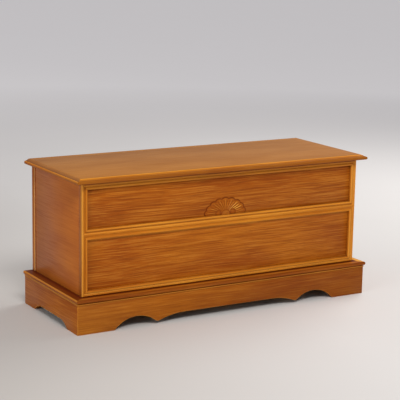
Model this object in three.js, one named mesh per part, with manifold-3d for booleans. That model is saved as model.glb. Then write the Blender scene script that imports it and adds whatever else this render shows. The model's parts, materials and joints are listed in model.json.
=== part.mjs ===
// Blanket chest: a moulded lift-up lid, a framed front of two recessed panels with a carved fan,
// plain veneered sides and a plinth with shaped bracket feet.
// Millimetres, +Z up, the front faces -Y, the origin is on the floor under the middle of the chest.
import * as THREE from "three";
import { mergeVertices } from "three/addons/utils/BufferGeometryUtils.js";
import Module from "manifold-3d";

const wasm = await Module();
wasm.setup();

// Case and its front frame
const caseWidth = 1124;
const caseDepth = 414;
const caseHeight = 388;
const frameThickness = 18;
const stileFlat = 7;
const topRailFlat = 7;
const midRailFlat = 7;
const bottomRailFlat = 5;
const lowerPanelHeight = 174;
const frontPanelThickness = 5;
const frontPanelRecess = 10;
const frontGrooveDepth = 7;

// Bead moulding round each front panel
const beadWidth = 15;
const beadBaseDepth = 6;
const beadLip = 0.6;
const beadCoveWidth = 5.6;
const beadCoveDepth = 2.4;
const beadProud = 1.2;

// Sides and back
const sideThickness = 16;
const sideRecess = 2;
const sideQuirk = 1.5;
const postWidth = 34;
const postThickness = 19;
const backRailThickness = 18;
const backTopRailHeight = 60;
const backBottomRailHeight = 40;
const backPanelThickness = 6;
const backPanelRecess = 6;
const backGrooveDepth = 6;
const floorThickness = 9;

// Plinth
const plinthOverhang = 30;
const apronHeight = 104;
const apronThickness = 18;
const frontFootLength = 138;
const frontArchWidth = 174;
const frontArchRise = 40;
const cuspHeight = 9;
const cuspRounding = 7;
const centreRise = 31;
const shoulderRun = 106;
const sideFootLength = 85;
const sideArchRise = 24;
const sideArchRun = 60;
const backApronLift = 30;
const blockSize = 32;
const blockChamfer = 12;
const blockLift = 10;

// Cap moulding on the plinth, which carries the case
const capThickness = 18;
const capProjection = 6;
const capBearing = 28;
const capNoseDepth = 4;
const capNoseHeight = 12;
const capCoveDepth = 3;
const capFilletHeight = 3;

// Lid
const lidGap = 2;
const lidThickness = 18;
const lidOverhang = 29;
const lidEdgeWidth = 20;
const lidNoseLowRadius = 4;
const lidNoseHighRadius = 4;
const lidNoseHeight = 11;
const lidQuirkWidth = 1;
const lidQuirkRise = 0.8;
const lidShoulderWidth = 1;
const lidShoulderRise = 0.6;
const bumperRadius = 6;
const bumperInset = 62;

// Butt hinges, whose leaves lie in the gap under the lid
const hingeCount = 3;
const hingeInset = 162;
const hingeLength = 60;
const hingeKnuckles = 3;
const hingeLeafReach = 16;
const hingeLeafGap = 0.2;
const knuckleRadius = 3;
const knuckleBoreRadius = 1.6;
const hingePinRadius = 1.3;
const hingePinOverrun = 1;

// Slotted lid stays. The lid pivot and the guide stud are equally far from the hinge axis,
// so an arm always turns half as far as the lid.
const stayRadius = 150;
const stayPivotDrop = 12;
const stayClosedAngle = THREE.MathUtils.degToRad(15);
const lidOpenAngle = THREE.MathUtils.degToRad(95);
const stayInset = 12;
const armWidth = 16;
const armThickness = 2;
const armTail = 16;
const slotWidth = 6;
const slotPlay = 0.5;
const studRadius = 2.5;
const studHeadRadius = 5.5;
const studHeadThickness = 2;
const collarRadius = 4.5;
const pivotHoleRadius = 2.8;
const pivotHeadRadius = 4.5;
const pivotHeadThickness = 1.5;
const stayPlateThickness = 2;
const stayPlateLength = 44;
const stayPlateHeight = 30;
const bracketThickness = 1.5;
const bracketLength = 36;
const bracketFlangeWidth = 24;
const bracketTipRadius = 8;

// Carved fan on the upper panel
const fanHalfWidth = 90;
const fanHeight = 64;
const fanLobes = 9;
const fanEdgeThickness = 3.4;
const fanCrown = 3;
const fanFluteDepth = 1.8;
const fanScallopDepth = 5;
const fanHubRise = 1.2;
const fanHubShare = 0.42;
const fanStepsPerLobe = 6;
const fanRings = 7;

// Fits and facets
const fitGap = 0.3;
const slideGap = 0.5;
const cutOverrun = 5;
const arcSteps = 10;
const cuspSteps = 4;
const mouldingSteps = 5;
const roundSteps = 16;

// Heights and planes that follow. Depths are measured back from the front of the case.
const plinthHeight = apronHeight + capThickness;
const caseTop = plinthHeight + caseHeight;
const lidBottom = caseTop + lidGap;
const halfCase = caseWidth / 2;
const halfPlinth = halfCase + plinthOverhang;
const halfLid = halfCase + lidOverhang;
const plinthDepth = caseDepth + plinthOverhang;
const stileWidth = stileFlat + beadWidth;
const topRailHeight = topRailFlat + beadWidth;
const midRailHeight = midRailFlat + beadWidth + beadWidth;
const bottomRailHeight = bottomRailFlat + beadWidth;
const lowerPanelBase = plinthHeight + bottomRailHeight;
const midRailBase = lowerPanelBase + lowerPanelHeight;
const upperPanelBase = midRailBase + midRailHeight;
const upperPanelTop = caseTop - topRailHeight;
const halfOpening = halfCase - stileWidth;
const sideInnerFace = halfCase - sideRecess - sideThickness;
const postFront = caseDepth - postThickness;
const capWidth = capProjection + plinthOverhang + capBearing;
const hingeAxisDepth = caseDepth + knuckleRadius + fitGap;
const hingeAxisHeight = caseTop + lidGap / 2;
const frontReach = plinthOverhang + capProjection;
const backReach = hingeAxisDepth + knuckleRadius;

// Directions
const right = new THREE.Vector3(1, 0, 0);
const left = new THREE.Vector3(-1, 0, 0);
const backward = new THREE.Vector3(0, 1, 0);
const forward = new THREE.Vector3(0, -1, 0);
const up = new THREE.Vector3(0, 0, 1);
const down = new THREE.Vector3(0, 0, -1);

function finish(name, colour, roughness, metalness) {
  const material = new THREE.MeshStandardMaterial({ color: colour, roughness, metalness });
  material.name = name;
  return material;
}

const veneer = () => finish("honey_stained_veneer", 0x9c5a26, 0.42, 0);
const solidWood = () => finish("honey_stained_wood", 0xa8642a, 0.4, 0);
const lidWood = () => finish("honey_stained_lid", 0xaa7040, 0.38, 0);
const plainWood = () => finish("unstained_board", 0xb98a58, 0.7, 0);
const brass = () => finish("brass_plated_steel", 0xb08d4a, 0.35, 0.9);
const steel = () => finish("zinc_plated_steel", 0xa9abac, 0.4, 0.9);
const rubber = () => finish("bumper_rubber", 0x3a2a20, 0.8, 0);

function part(name, geometry, material, x = 0, y = 0, z = 0) {
  const mesh = new THREE.Mesh(geometry, material);
  mesh.name = name;
  mesh.position.set(x, y, z);
  return mesh;
}

// A piece drawn with its own X along, Y inward and Z outward, turned into its place
function turnedPart(name, geometry, material, along, inward, x, y, z) {
  const mesh = part(name, geometry, material, x, y, z);
  const outward = new THREE.Vector3().crossVectors(along, inward);
  mesh.quaternion.setFromRotationMatrix(new THREE.Matrix4().makeBasis(along, inward, outward));
  return mesh;
}

function solidOf(geometry) {
  const bare = geometry.clone();
  bare.deleteAttribute("normal");
  bare.deleteAttribute("uv");
  const merged = mergeVertices(bare);
  const mesh = new wasm.Mesh({
    numProp: 3,
    vertProperties: new Float32Array(merged.attributes.position.array),
    triVerts: new Uint32Array(merged.index.array),
  });
  return new wasm.Manifold(mesh);
}

function geometryOf(solid) {
  const mesh = solid.getMesh();
  const geometry = new THREE.BufferGeometry();
  geometry.setAttribute("position", new THREE.BufferAttribute(mesh.vertProperties, 3));
  geometry.setIndex(new THREE.BufferAttribute(mesh.triVerts, 1));
  return geometry;
}

function joined(first, ...others) {
  return geometryOf(others.reduce((sum, other) => sum.add(solidOf(other)), solidOf(first)));
}

function cutBy(first, ...tools) {
  return geometryOf(tools.reduce((rest, tool) => rest.subtract(solidOf(tool)), solidOf(first)));
}

// A board between two opposite corners
function board([x0, y0, z0], [x1, y1, z1]) {
  const geometry = new THREE.BoxGeometry(x1 - x0, y1 - y0, z1 - z0);
  return geometry.translate((x0 + x1) / 2, (y0 + y1) / 2, (z0 + z1) / 2);
}

// A round bar along X between two places
function roundBar(radius, x0, x1, y, z) {
  const geometry = new THREE.CylinderGeometry(radius, radius, Math.abs(x1 - x0), roundSteps);
  return geometry.rotateZ(Math.PI / 2).translate((x0 + x1) / 2, y, z);
}

function outline(points) {
  return new THREE.Shape(points.map(([a, b]) => new THREE.Vector2(a, b)));
}

function extruded(shape, depth) {
  return new THREE.ExtrudeGeometry(shape, { depth, bevelEnabled: false, curveSegments: arcSteps });
}

// Points on an ellipse from one angle to another, both ends included
function arc([centreA, centreB], [radiusA, radiusB], from, to, steps) {
  return Array.from({ length: steps + 1 }, (_, i) => {
    const angle = from + ((to - from) * i) / steps;
    return [centreA + radiusA * Math.cos(angle), centreB + radiusB * Math.sin(angle)];
  });
}

// Points of the curve between two ends that leaves and meets them towards a corner, ends left out
function bend(from, corner, to, steps) {
  return Array.from({ length: steps - 1 }, (_, i) => {
    const share = (i + 1) / steps;
    const between = (a, b) => a + (b - a) * share;
    return corner.map((c, axis) => between(between(from[axis], c), between(c, to[axis])));
  });
}

// Radius of the arc that is level at the end of a run and has risen so much over it
function arcRadius(reach, rise) {
  return (reach * reach + rise * rise) / (2 * rise);
}

// A straight run of a section of (inward, outward) points. A mitred end steps back as the
// section lies further inward, and keeps half the joint's gap.
function sectionRun(section, length, mitreStart = false, mitreEnd = false) {
  const geometry = extruded(outline(section), length);
  const place = geometry.attributes.position;
  for (let i = 0; i < place.count; i += 1) {
    const inward = place.getX(i);
    const outward = place.getY(i);
    const atEnd = place.getZ(i) > length / 2;
    const step = fitGap / 2 + inward;
    const start = mitreStart ? step : 0;
    const end = mitreEnd ? length - step : length;
    place.setXYZ(i, atEnd ? end : start, inward, outward);
  }
  return geometry;
}

// Plinth

// The front apron from above one foot: half an arch, a cusp and half the long centre
function frontApronOutline() {
  const halfArch = frontArchWidth / 2;
  const archRadius = arcRadius(halfArch, frontArchRise);
  const archCentre = halfPlinth - frontFootLength - halfArch;
  const archBase = frontArchRise - archRadius;
  const footAngle = Math.asin(-archBase / archRadius);
  const cuspAngle = Math.PI - Math.asin((cuspHeight - archBase) / archRadius);
  const cusp = archCentre + archRadius * Math.cos(cuspAngle);
  const shoulderRadius = arcRadius(shoulderRun, centreRise - cuspHeight);
  const spread = Math.asin(shoulderRun / shoulderRadius);
  const shoulderCentre = [cusp - shoulderRun, centreRise - shoulderRadius];
  const level = Math.PI / 2;
  const archEnd = cuspAngle - cuspRounding / archRadius;
  const shoulderStart = level - spread + cuspRounding / shoulderRadius;
  const arch = arc([archCentre, archBase], [archRadius, archRadius], footAngle, archEnd, arcSteps);
  const shoulder = arc(shoulderCentre, [shoulderRadius, shoulderRadius], shoulderStart, level, arcSteps);
  const tip = bend(arch.at(-1), [cusp, cuspHeight], shoulder[0], cuspSteps);
  const rightHalf = [[halfPlinth, apronHeight], [halfPlinth, 0], ...arch, ...tip, ...shoulder];
  const leftHalf = rightHalf.map(([x, z]) => [-x, z]).reverse();
  return outline([...rightHalf, ...leftHalf].map(([x, z]) => [x + halfPlinth, z]));
}

function sideApronOutline() {
  const radius = arcRadius(sideArchRun, sideArchRise);
  const spread = Math.asin(sideArchRun / radius);
  const centre = [sideFootLength + sideArchRun, sideArchRise - radius];
  const level = Math.PI / 2;
  const rising = arc(centre, [radius, radius], level + spread, level, arcSteps);
  const falling = rising.map(([a, b]) => [plinthDepth - a, b]).reverse();
  const feet = [[0, 0], ...rising, ...falling, [plinthDepth, 0]];
  return outline([[0, apronHeight], ...feet, [plinthDepth, apronHeight]]);
}

// An apron is drawn as seen from outside, along and up. Its mitred ends step in on the inner face.
function apron(name, shape, length, mitreStart, mitreEnd, along, inward, x, y) {
  const geometry = extruded(shape, apronThickness);
  const place = geometry.attributes.position;
  for (let i = 0; i < place.count; i += 1) {
    const distance = place.getX(i);
    const height = place.getY(i);
    const depth = apronThickness - place.getZ(i);
    const step = depth + fitGap / 2;
    const start = mitreStart && distance < fitGap ? step : 0;
    const end = mitreEnd && distance > length - fitGap ? step : 0;
    place.setXYZ(i, distance + start - end, depth, height);
  }
  return turnedPart(name, geometry, veneer(), along, inward, x, y, 0);
}

// A block glued into the angle of two aprons, with its free corner planed off
function cornerBlock(name, sideX, sideY) {
  const cornerX = halfPlinth - apronThickness;
  const cornerY = sideY < 0 ? apronThickness - plinthOverhang : caseDepth - apronThickness;
  const near = blockSize - blockChamfer;
  const points = [[0, 0], [blockSize, 0], [blockSize, near], [near, blockSize], [0, blockSize]];
  const shape = outline(points.map(([a, b]) => [sideX * (cornerX - a), cornerY - sideY * b]));
  return part(name, extruded(shape, apronHeight - blockLift), plainWood(), 0, 0, blockLift);
}

function plinthBack() {
  const reach = halfPlinth - apronThickness;
  const low = [-reach, caseDepth - apronThickness, backApronLift];
  return part("plinth_back", board(low, [reach, caseDepth, apronHeight]), plainWood());
}

function plinth() {
  const group = new THREE.Group();
  const front = -plinthOverhang;
  const frontShape = frontApronOutline();
  const sideShape = sideApronOutline();
  const frontLength = halfPlinth + halfPlinth;
  const add = (...given) => group.add(apron(...given));
  add("plinth_front", frontShape, frontLength, true, true, right, backward, -halfPlinth, front);
  add("plinth_left", sideShape, plinthDepth, false, true, forward, right, -halfPlinth, caseDepth);
  add("plinth_right", sideShape, plinthDepth, true, false, backward, left, halfPlinth, front);
  group.add(plinthBack());
  group.add(cornerBlock("corner_block_front_left", -1, -1));
  group.add(cornerBlock("corner_block_front_right", 1, -1));
  group.add(cornerBlock("corner_block_back_left", -1, 1));
  group.add(cornerBlock("corner_block_back_right", 1, 1));
  return group;
}

// Cap moulding

// Nose, quirk, cove and fillet, drawn from the tip of the nose inwards
function capSection() {
  const noseBase = capThickness - capNoseHeight;
  const noseCentre = [capNoseDepth, capThickness - capNoseHeight / 2];
  const noseRadii = [capNoseDepth, capNoseHeight / 2];
  const coveRadii = [capCoveDepth, noseBase - capFilletHeight];
  const nose = arc(noseCentre, noseRadii, Math.PI / 2, Math.PI * 1.5, mouldingSteps + mouldingSteps);
  const cove = arc([capNoseDepth, noseBase], coveRadii, 0, -Math.PI / 2, mouldingSteps);
  return [[capWidth, capThickness], ...nose, ...cove, [capNoseDepth, 0], [capWidth, 0]];
}

function cap() {
  const group = new THREE.Group();
  const section = capSection();
  const reach = halfPlinth + capProjection;
  const front = -frontReach;
  const depth = caseDepth + frontReach;
  const frontRun = sectionRun(section, reach + reach, true, true);
  const leftRun = sectionRun(section, depth, false, true);
  const rightRun = sectionRun(section, depth, true, false);
  const backLow = [capWidth - reach, caseDepth - capWidth, apronHeight];
  const backHigh = [reach - capWidth, caseDepth, plinthHeight];
  group.add(turnedPart("cap_front", frontRun, solidWood(), right, backward, -reach, front, apronHeight));
  group.add(turnedPart("cap_left", leftRun, solidWood(), forward, right, -reach, caseDepth, apronHeight));
  group.add(turnedPart("cap_right", rightRun, solidWood(), backward, left, reach, front, apronHeight));
  group.add(part("cap_back", board(backLow, backHigh), plainWood()));
  return group;
}

// Front of the case

// A front frame member is rebated for the bead moulding and grooved for the panel
function rebatedEdge(flat) {
  const width = flat + beadWidth;
  const grooveFront = fitGap - frontPanelRecess;
  const grooveBack = -frontPanelRecess - frontPanelThickness - fitGap;
  const grooveBase = width - frontGrooveDepth;
  return [
    [flat, 0],
    [flat, -beadBaseDepth],
    [width, -beadBaseDepth],
    [width, grooveFront],
    [grooveBase, grooveFront],
    [grooveBase, grooveBack],
    [width, grooveBack],
    [width, -frameThickness],
  ];
}

function memberSection(flat) {
  return [[0, -frameThickness], [0, 0], ...rebatedEdge(flat)];
}

function midRailSection() {
  const half = midRailFlat / 2;
  const upper = rebatedEdge(half);
  const lower = upper.map(([w, h]) => [-w, h]).reverse();
  return [...upper, ...lower];
}

// A rail between the stiles, with a tongue at each end that crosses the rebate of the stile
function frontRail(name, section, flatLow, flatHigh, along, inward, x, z) {
  const length = halfOpening + halfOpening;
  const body = sectionRun(section, length);
  const low = [-beadWidth, flatLow, -beadBaseDepth];
  const tongue = board(low, [length + beadWidth, flatHigh, 0]);
  return turnedPart(name, joined(body, tongue), solidWood(), along, inward, x, 0, z);
}

function frontFrame() {
  const group = new THREE.Group();
  const stile = () => sectionRun(memberSection(stileFlat), caseHeight);
  const top = memberSection(topRailFlat);
  const middle = midRailSection();
  const bottom = memberSection(bottomRailFlat);
  const midHalf = midRailFlat / 2;
  const midCentre = midRailBase + midRailHeight / 2;
  group.add(turnedPart("front_stile_left", stile(), solidWood(), down, right, -halfCase, 0, caseTop));
  group.add(turnedPart("front_stile_right", stile(), solidWood(), up, left, halfCase, 0, plinthHeight));
  group.add(frontRail("front_top_rail", top, 0, topRailFlat, left, down, halfOpening, caseTop));
  group.add(frontRail("front_mid_rail", middle, -midHalf, midHalf, right, up, -halfOpening, midCentre));
  group.add(frontRail("front_bottom_rail", bottom, 0, bottomRailFlat, right, up, -halfOpening, plinthHeight));
  return group;
}

// Cove and round bead, from the flat of the frame towards the panel
function beadSection() {
  const valley = -beadLip - beadCoveDepth;
  const roundRadius = (beadWidth - beadCoveWidth) / 2;
  const coveRadii = [beadCoveWidth, beadCoveDepth];
  const roundRadii = [roundRadius, beadProud - valley];
  const cove = arc([beadCoveWidth, -beadLip], coveRadii, Math.PI, Math.PI * 1.5, mouldingSteps);
  const round = arc([beadWidth - roundRadius, valley], roundRadii, Math.PI, 0, mouldingSteps + mouldingSteps);
  return [[0, -beadBaseDepth], ...cove, ...round.slice(1), [beadWidth, -beadBaseDepth]];
}

// Four mitred beads round one opening
function beads(prefix, low, high) {
  const group = new THREE.Group();
  const outer = halfOpening + beadWidth;
  const bottom = low - beadWidth;
  const top = high + beadWidth;
  const across = () => sectionRun(beadSection(), outer + outer, true, true);
  const upright = () => sectionRun(beadSection(), top - bottom, true, true);
  group.add(turnedPart(`${prefix}_bead_bottom`, across(), solidWood(), right, up, -outer, 0, bottom));
  group.add(turnedPart(`${prefix}_bead_top`, across(), solidWood(), left, down, outer, 0, top));
  group.add(turnedPart(`${prefix}_bead_left`, upright(), solidWood(), down, right, -outer, 0, top));
  group.add(turnedPart(`${prefix}_bead_right`, upright(), solidWood(), up, left, outer, 0, bottom));
  return group;
}

function frontPanel(name, low, high) {
  const grip = frontGrooveDepth - fitGap;
  const reach = halfOpening + grip;
  const near = [-reach, frontPanelRecess, low - grip];
  const far = [reach, frontPanelRecess + frontPanelThickness, high + grip];
  return part(name, board(near, far), veneer());
}

// Zero on a flute between two lobes of the fan, rising to one in the middle of a lobe
function lobeShare(angle) {
  return Math.abs(Math.sin(fanLobes * angle));
}

// One place on the face of the fan, as (along, up, outward)
function fanPlace(angle, share) {
  const lobe = lobeShare(angle);
  const dip = fanScallopDepth * (1 - lobe);
  const along = (fanHalfWidth - dip) * share * Math.cos(angle);
  const height = (fanHeight - dip) * share * Math.sin(angle);
  const onHub = share <= fanHubShare;
  const flute = onHub ? 0 : fanFluteDepth * (1 - lobe);
  const hub = onHub ? fanHubRise : 0;
  const crown = fanCrown * (1 - share * share);
  return [along, height, fanEdgeThickness + crown + hub - flute];
}

// Half a round shell with scalloped edge, radial flutes and a small hub, flat at the back
function fanGeometry() {
  const steps = fanLobes * fanStepsPerLobe;
  const angle = (i) => (Math.PI * i) / steps;
  const face = (ring, i) => fanPlace(angle(i), ring / fanRings);
  const foot = (i) => [...fanPlace(angle(i), 1).slice(0, 2), 0];
  const middle = fanPlace(0, 0);
  const base = [0, 0, 0];
  const corners = [];
  for (let i = 0; i < steps; i += 1) {
    corners.push(middle, face(1, i), face(1, i + 1), base, foot(i + 1), foot(i));
    corners.push(foot(i), foot(i + 1), face(fanRings, i + 1));
    corners.push(foot(i), face(fanRings, i + 1), face(fanRings, i));
    for (let ring = 1; ring < fanRings; ring += 1) {
      corners.push(face(ring, i), face(ring + 1, i), face(ring + 1, i + 1));
      corners.push(face(ring, i), face(ring + 1, i + 1), face(ring, i + 1));
    }
  }
  corners.push(base, foot(0), face(fanRings, 0), base, face(fanRings, steps), foot(steps));
  for (let ring = fanRings; ring > 0; ring -= 1) {
    const inner = (i) => (ring > 1 ? face(ring - 1, i) : middle);
    corners.push(base, face(ring, 0), inner(0), base, inner(steps), face(ring, steps));
  }
  const geometry = new THREE.BufferGeometry();
  geometry.setAttribute("position", new THREE.Float32BufferAttribute(corners.flat(), 3));
  return geometry;
}

function front() {
  const group = frontFrame();
  group.add(frontPanel("front_panel_upper", upperPanelBase, upperPanelTop));
  group.add(frontPanel("front_panel_lower", lowerPanelBase, midRailBase));
  group.add(beads("upper", upperPanelBase, upperPanelTop));
  group.add(beads("lower", lowerPanelBase, midRailBase));
  const fan = fanGeometry();
  group.add(turnedPart("carved_fan", fan, solidWood(), right, up, 0, frontPanelRecess, upperPanelBase));
  return group;
}

// Sides, back and floor of the case

function sidePanel(name, side) {
  const outer = halfCase - sideRecess;
  const shape = outline([
    [side * sideInnerFace, frameThickness],
    [side * (outer - sideQuirk), frameThickness],
    [side * outer, frameThickness + sideQuirk],
    [side * outer, postFront - sideQuirk],
    [side * (outer - sideQuirk), postFront],
    [side * sideInnerFace, postFront],
  ]);
  return part(name, extruded(shape, caseHeight), veneer(), 0, 0, plinthHeight);
}

// A back frame member is grooved for the thin back panel
function backSection(width, thickness) {
  const grooveOuter = fitGap - backPanelRecess;
  const grooveInner = -backPanelRecess - backPanelThickness - fitGap;
  const grooveBase = width - backGrooveDepth;
  return [
    [0, -thickness],
    [0, 0],
    [width, 0],
    [width, grooveOuter],
    [grooveBase, grooveOuter],
    [grooveBase, grooveInner],
    [width, grooveInner],
    [width, -thickness],
  ];
}

function backFrame() {
  const group = new THREE.Group();
  const reach = halfCase - postWidth;
  const post = () => sectionRun(backSection(postWidth, postThickness), caseHeight);
  const topRail = sectionRun(backSection(backTopRailHeight, backRailThickness), reach + reach);
  const lowRail = sectionRun(backSection(backBottomRailHeight, backRailThickness), reach + reach);
  const base = plinthHeight;
  group.add(turnedPart("rear_post_left", post(), solidWood(), up, right, -halfCase, caseDepth, base));
  group.add(turnedPart("rear_post_right", post(), solidWood(), down, left, halfCase, caseDepth, caseTop));
  group.add(turnedPart("back_top_rail", topRail, plainWood(), right, down, -reach, caseDepth, caseTop));
  group.add(turnedPart("back_bottom_rail", lowRail, plainWood(), left, up, reach, caseDepth, base));
  return group;
}

function backPanel() {
  const grip = backGrooveDepth - fitGap;
  const reach = halfCase - postWidth + grip;
  const outer = caseDepth - backPanelRecess;
  const low = [-reach, outer - backPanelThickness, plinthHeight + backBottomRailHeight - grip];
  const high = [reach, outer, caseTop - backTopRailHeight + grip];
  return part("back_panel", board(low, high), plainWood());
}

function floorPanel() {
  const reach = sideInnerFace - fitGap;
  const low = [-reach, frameThickness + fitGap, plinthHeight];
  const high = [reach, postFront - fitGap, plinthHeight + floorThickness];
  return part("floor_panel", board(low, high), plainWood());
}

// Lid

// Nose, quirk and shallow ogee, drawn from the tip of the nose inwards
function lidEdgeSection() {
  const ogeeStart = lidNoseHighRadius + lidQuirkWidth;
  const ogeeEnd = lidEdgeWidth - lidShoulderWidth;
  const ogeeLow = lidNoseHeight + lidQuirkRise;
  const ogeeHigh = lidThickness - lidShoulderRise;
  const lowCentre = [lidNoseLowRadius, lidNoseLowRadius];
  const highCentre = [lidNoseHighRadius, lidNoseHeight - lidNoseHighRadius];
  const lowRadii = [lidNoseLowRadius, lidNoseLowRadius];
  const highRadii = [lidNoseHighRadius, lidNoseHighRadius];
  const low = arc(lowCentre, lowRadii, Math.PI * 1.5, Math.PI, mouldingSteps);
  const high = arc(highCentre, highRadii, Math.PI, Math.PI / 2, mouldingSteps);
  const ogee = Array.from({ length: arcSteps + 1 }, (_, i) => {
    const share = i / arcSteps;
    const riseShare = (1 - Math.cos(Math.PI * share)) / 2;
    return [ogeeStart + (ogeeEnd - ogeeStart) * share, ogeeLow + (ogeeHigh - ogeeLow) * riseShare];
  });
  const quirk = [ogeeStart, lidNoseHeight];
  const shoulder = [[ogeeEnd, lidThickness], [lidEdgeWidth, lidThickness]];
  return [[lidEdgeWidth, 0], ...low, ...high, quirk, ...ogee, ...shoulder];
}

function lidBumper(name, side) {
  const thickness = lidGap - fitGap;
  const disc = new THREE.CylinderGeometry(bumperRadius, bumperRadius, thickness, roundSteps);
  const pad = disc.rotateX(Math.PI / 2).translate(0, 0, -thickness / 2);
  return part(name, pad, rubber(), side * (halfCase - bumperInset), frameThickness / 2, lidBottom);
}

function lid() {
  const group = new THREE.Group();
  const section = lidEdgeSection();
  const depth = caseDepth + lidOverhang;
  const inner = halfLid - lidEdgeWidth;
  const innerBack = caseDepth - lidEdgeWidth;
  const panelLow = [-inner, lidEdgeWidth - lidOverhang, lidBottom];
  const panelHigh = [inner, innerBack, lidBottom + lidThickness];
  const backLow = [-inner, innerBack, lidBottom];
  const backHigh = [inner, caseDepth, lidBottom + lidThickness];
  const frontRun = sectionRun(section, halfLid + halfLid, true, true);
  const leftRun = sectionRun(section, depth, false, true);
  const rightRun = sectionRun(section, depth, true, false);
  const front = -lidOverhang;
  group.add(part("lid_panel", board(panelLow, panelHigh), lidWood()));
  group.add(turnedPart("lid_edge_front", frontRun, lidWood(), right, backward, -halfLid, front, lidBottom));
  group.add(turnedPart("lid_edge_left", leftRun, lidWood(), forward, right, -halfLid, caseDepth, lidBottom));
  group.add(turnedPart("lid_edge_right", rightRun, lidWood(), backward, left, halfLid, front, lidBottom));
  group.add(part("lid_edge_back", board(backLow, backHigh), lidWood()));
  group.add(lidBumper("lid_bumper_left", -1));
  group.add(lidBumper("lid_bumper_right", 1));
  return group;
}

// Hinges, drawn round the hinge axis

// A leaf lies above or below the axis and has every second knuckle, from the given one on
function hingeLeaf(name, side, firstKnuckle) {
  const half = hingeLength / 2;
  const pitch = hingeLength / hingeKnuckles;
  const edge = -knuckleRadius - fitGap;
  const thick = side * (lidGap / 2);
  const thin = side * (hingeLeafGap / 2);
  const [low, high] = side > 0 ? [thin, thick] : [thick, thin];
  const pieces = [];
  for (let i = firstKnuckle; i < hingeKnuckles; i += 2) {
    const start = i * pitch - half + (i > 0 ? fitGap / 2 : 0);
    const end = (i + 1) * pitch - half - (i < hingeKnuckles - 1 ? fitGap / 2 : 0);
    pieces.push(roundBar(knuckleRadius, start, end, 0, 0));
    pieces.push(board([start, edge - cutOverrun, low], [end, 0, high]));
  }
  const plate = board([-half, edge - hingeLeafReach, low], [half, edge, high]);
  const bore = roundBar(knuckleBoreRadius, -half - cutOverrun, half + cutOverrun, 0, 0);
  return part(name, cutBy(joined(plate, ...pieces), bore), brass());
}

function hinge(number, x) {
  const group = new THREE.Group();
  const half = hingeLength / 2 + hingePinOverrun;
  group.add(hingeLeaf(`hinge_${number}_case_leaf`, -1, 1));
  group.add(hingeLeaf(`hinge_${number}_lid_leaf`, 1, 0));
  group.add(part(`hinge_${number}_pin`, roundBar(hingePinRadius, -half, half, 0, 0), steel()));
  group.position.set(x, hingeAxisDepth, hingeAxisHeight);
  return group;
}

// Lid stays, drawn round the hinge axis as (depth, height)

const pivotAngle = Math.asin((stayPivotDrop + lidGap / 2 - lidGap) / stayRadius);
const pivotPlace = [-stayRadius * Math.cos(pivotAngle), -stayRadius * Math.sin(pivotAngle)];
const studAngle = pivotAngle + stayClosedAngle;
const studPlace = [-stayRadius * Math.cos(studAngle), -stayRadius * Math.sin(studAngle)];
const closedReach = 2 * stayRadius * Math.sin(stayClosedAngle / 2);
const openReach = 2 * stayRadius * Math.sin((stayClosedAngle + lidOpenAngle) / 2);
const armCentre = sideInnerFace - stayInset;
const armOuter = armCentre + armThickness / 2;
const armInner = armCentre - armThickness / 2;

// A flat bar with round ends between two places along its own length, with its thickness about zero
function roundEndedBar(start, end, radius, thickness) {
  const quarter = Math.PI / 2;
  const near = arc([start, 0], [radius, radius], 3 * quarter, quarter, arcSteps);
  const far = arc([end, 0], [radius, radius], quarter, -quarter, arcSteps);
  return extruded(outline([...near, ...far]), thickness).translate(0, 0, -thickness / 2);
}

// The arm is drawn from its lid pivot along its own length
function armGeometry() {
  const half = armWidth / 2;
  const deep = armThickness + cutOverrun;
  const bar = roundEndedBar(0, openReach + armTail - half, half, armThickness);
  const slot = roundEndedBar(closedReach - slotPlay, openReach + slotPlay, slotWidth / 2, deep);
  const hole = roundEndedBar(0, slotPlay, pivotHoleRadius, deep).translate(-slotPlay / 2, 0, 0);
  return cutBy(bar, slot, hole);
}

function stayArm(name, side) {
  const [pivotY, pivotZ] = pivotPlace;
  const along = new THREE.Vector3(0, studPlace[0] - pivotY, studPlace[1] - pivotZ).normalize();
  const inward = new THREE.Vector3().crossVectors(right, along);
  return turnedPart(name, armGeometry(), brass(), along, inward, side * armCentre, pivotY, pivotZ);
}

// Screwed to the side of the case: a plate, a collar and the headed stud that runs in the slot
function stayCaseBracket(name, side) {
  const [y, z] = studPlace;
  const wall = side * sideInnerFace;
  const plateInner = side * (sideInnerFace - stayPlateThickness);
  const collarEnd = side * (armOuter + slideGap);
  const headStart = side * (armInner - slideGap);
  const headEnd = side * (armInner - slideGap - studHeadThickness);
  const [x0, x1] = side > 0 ? [plateInner, wall] : [wall, plateInner];
  const halfLength = stayPlateLength / 2;
  const halfHeight = stayPlateHeight / 2;
  const plate = board([x0, y - halfLength, z - halfHeight], [x1, y + halfLength, z + halfHeight]);
  const collar = roundBar(collarRadius, (wall + plateInner) / 2, collarEnd, y, z);
  const stud = roundBar(studRadius, (wall + plateInner) / 2, headEnd, y, z);
  const head = roundBar(studHeadRadius, headStart, headEnd, y, z);
  return part(name, joined(plate, collar, stud, head), brass());
}

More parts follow.
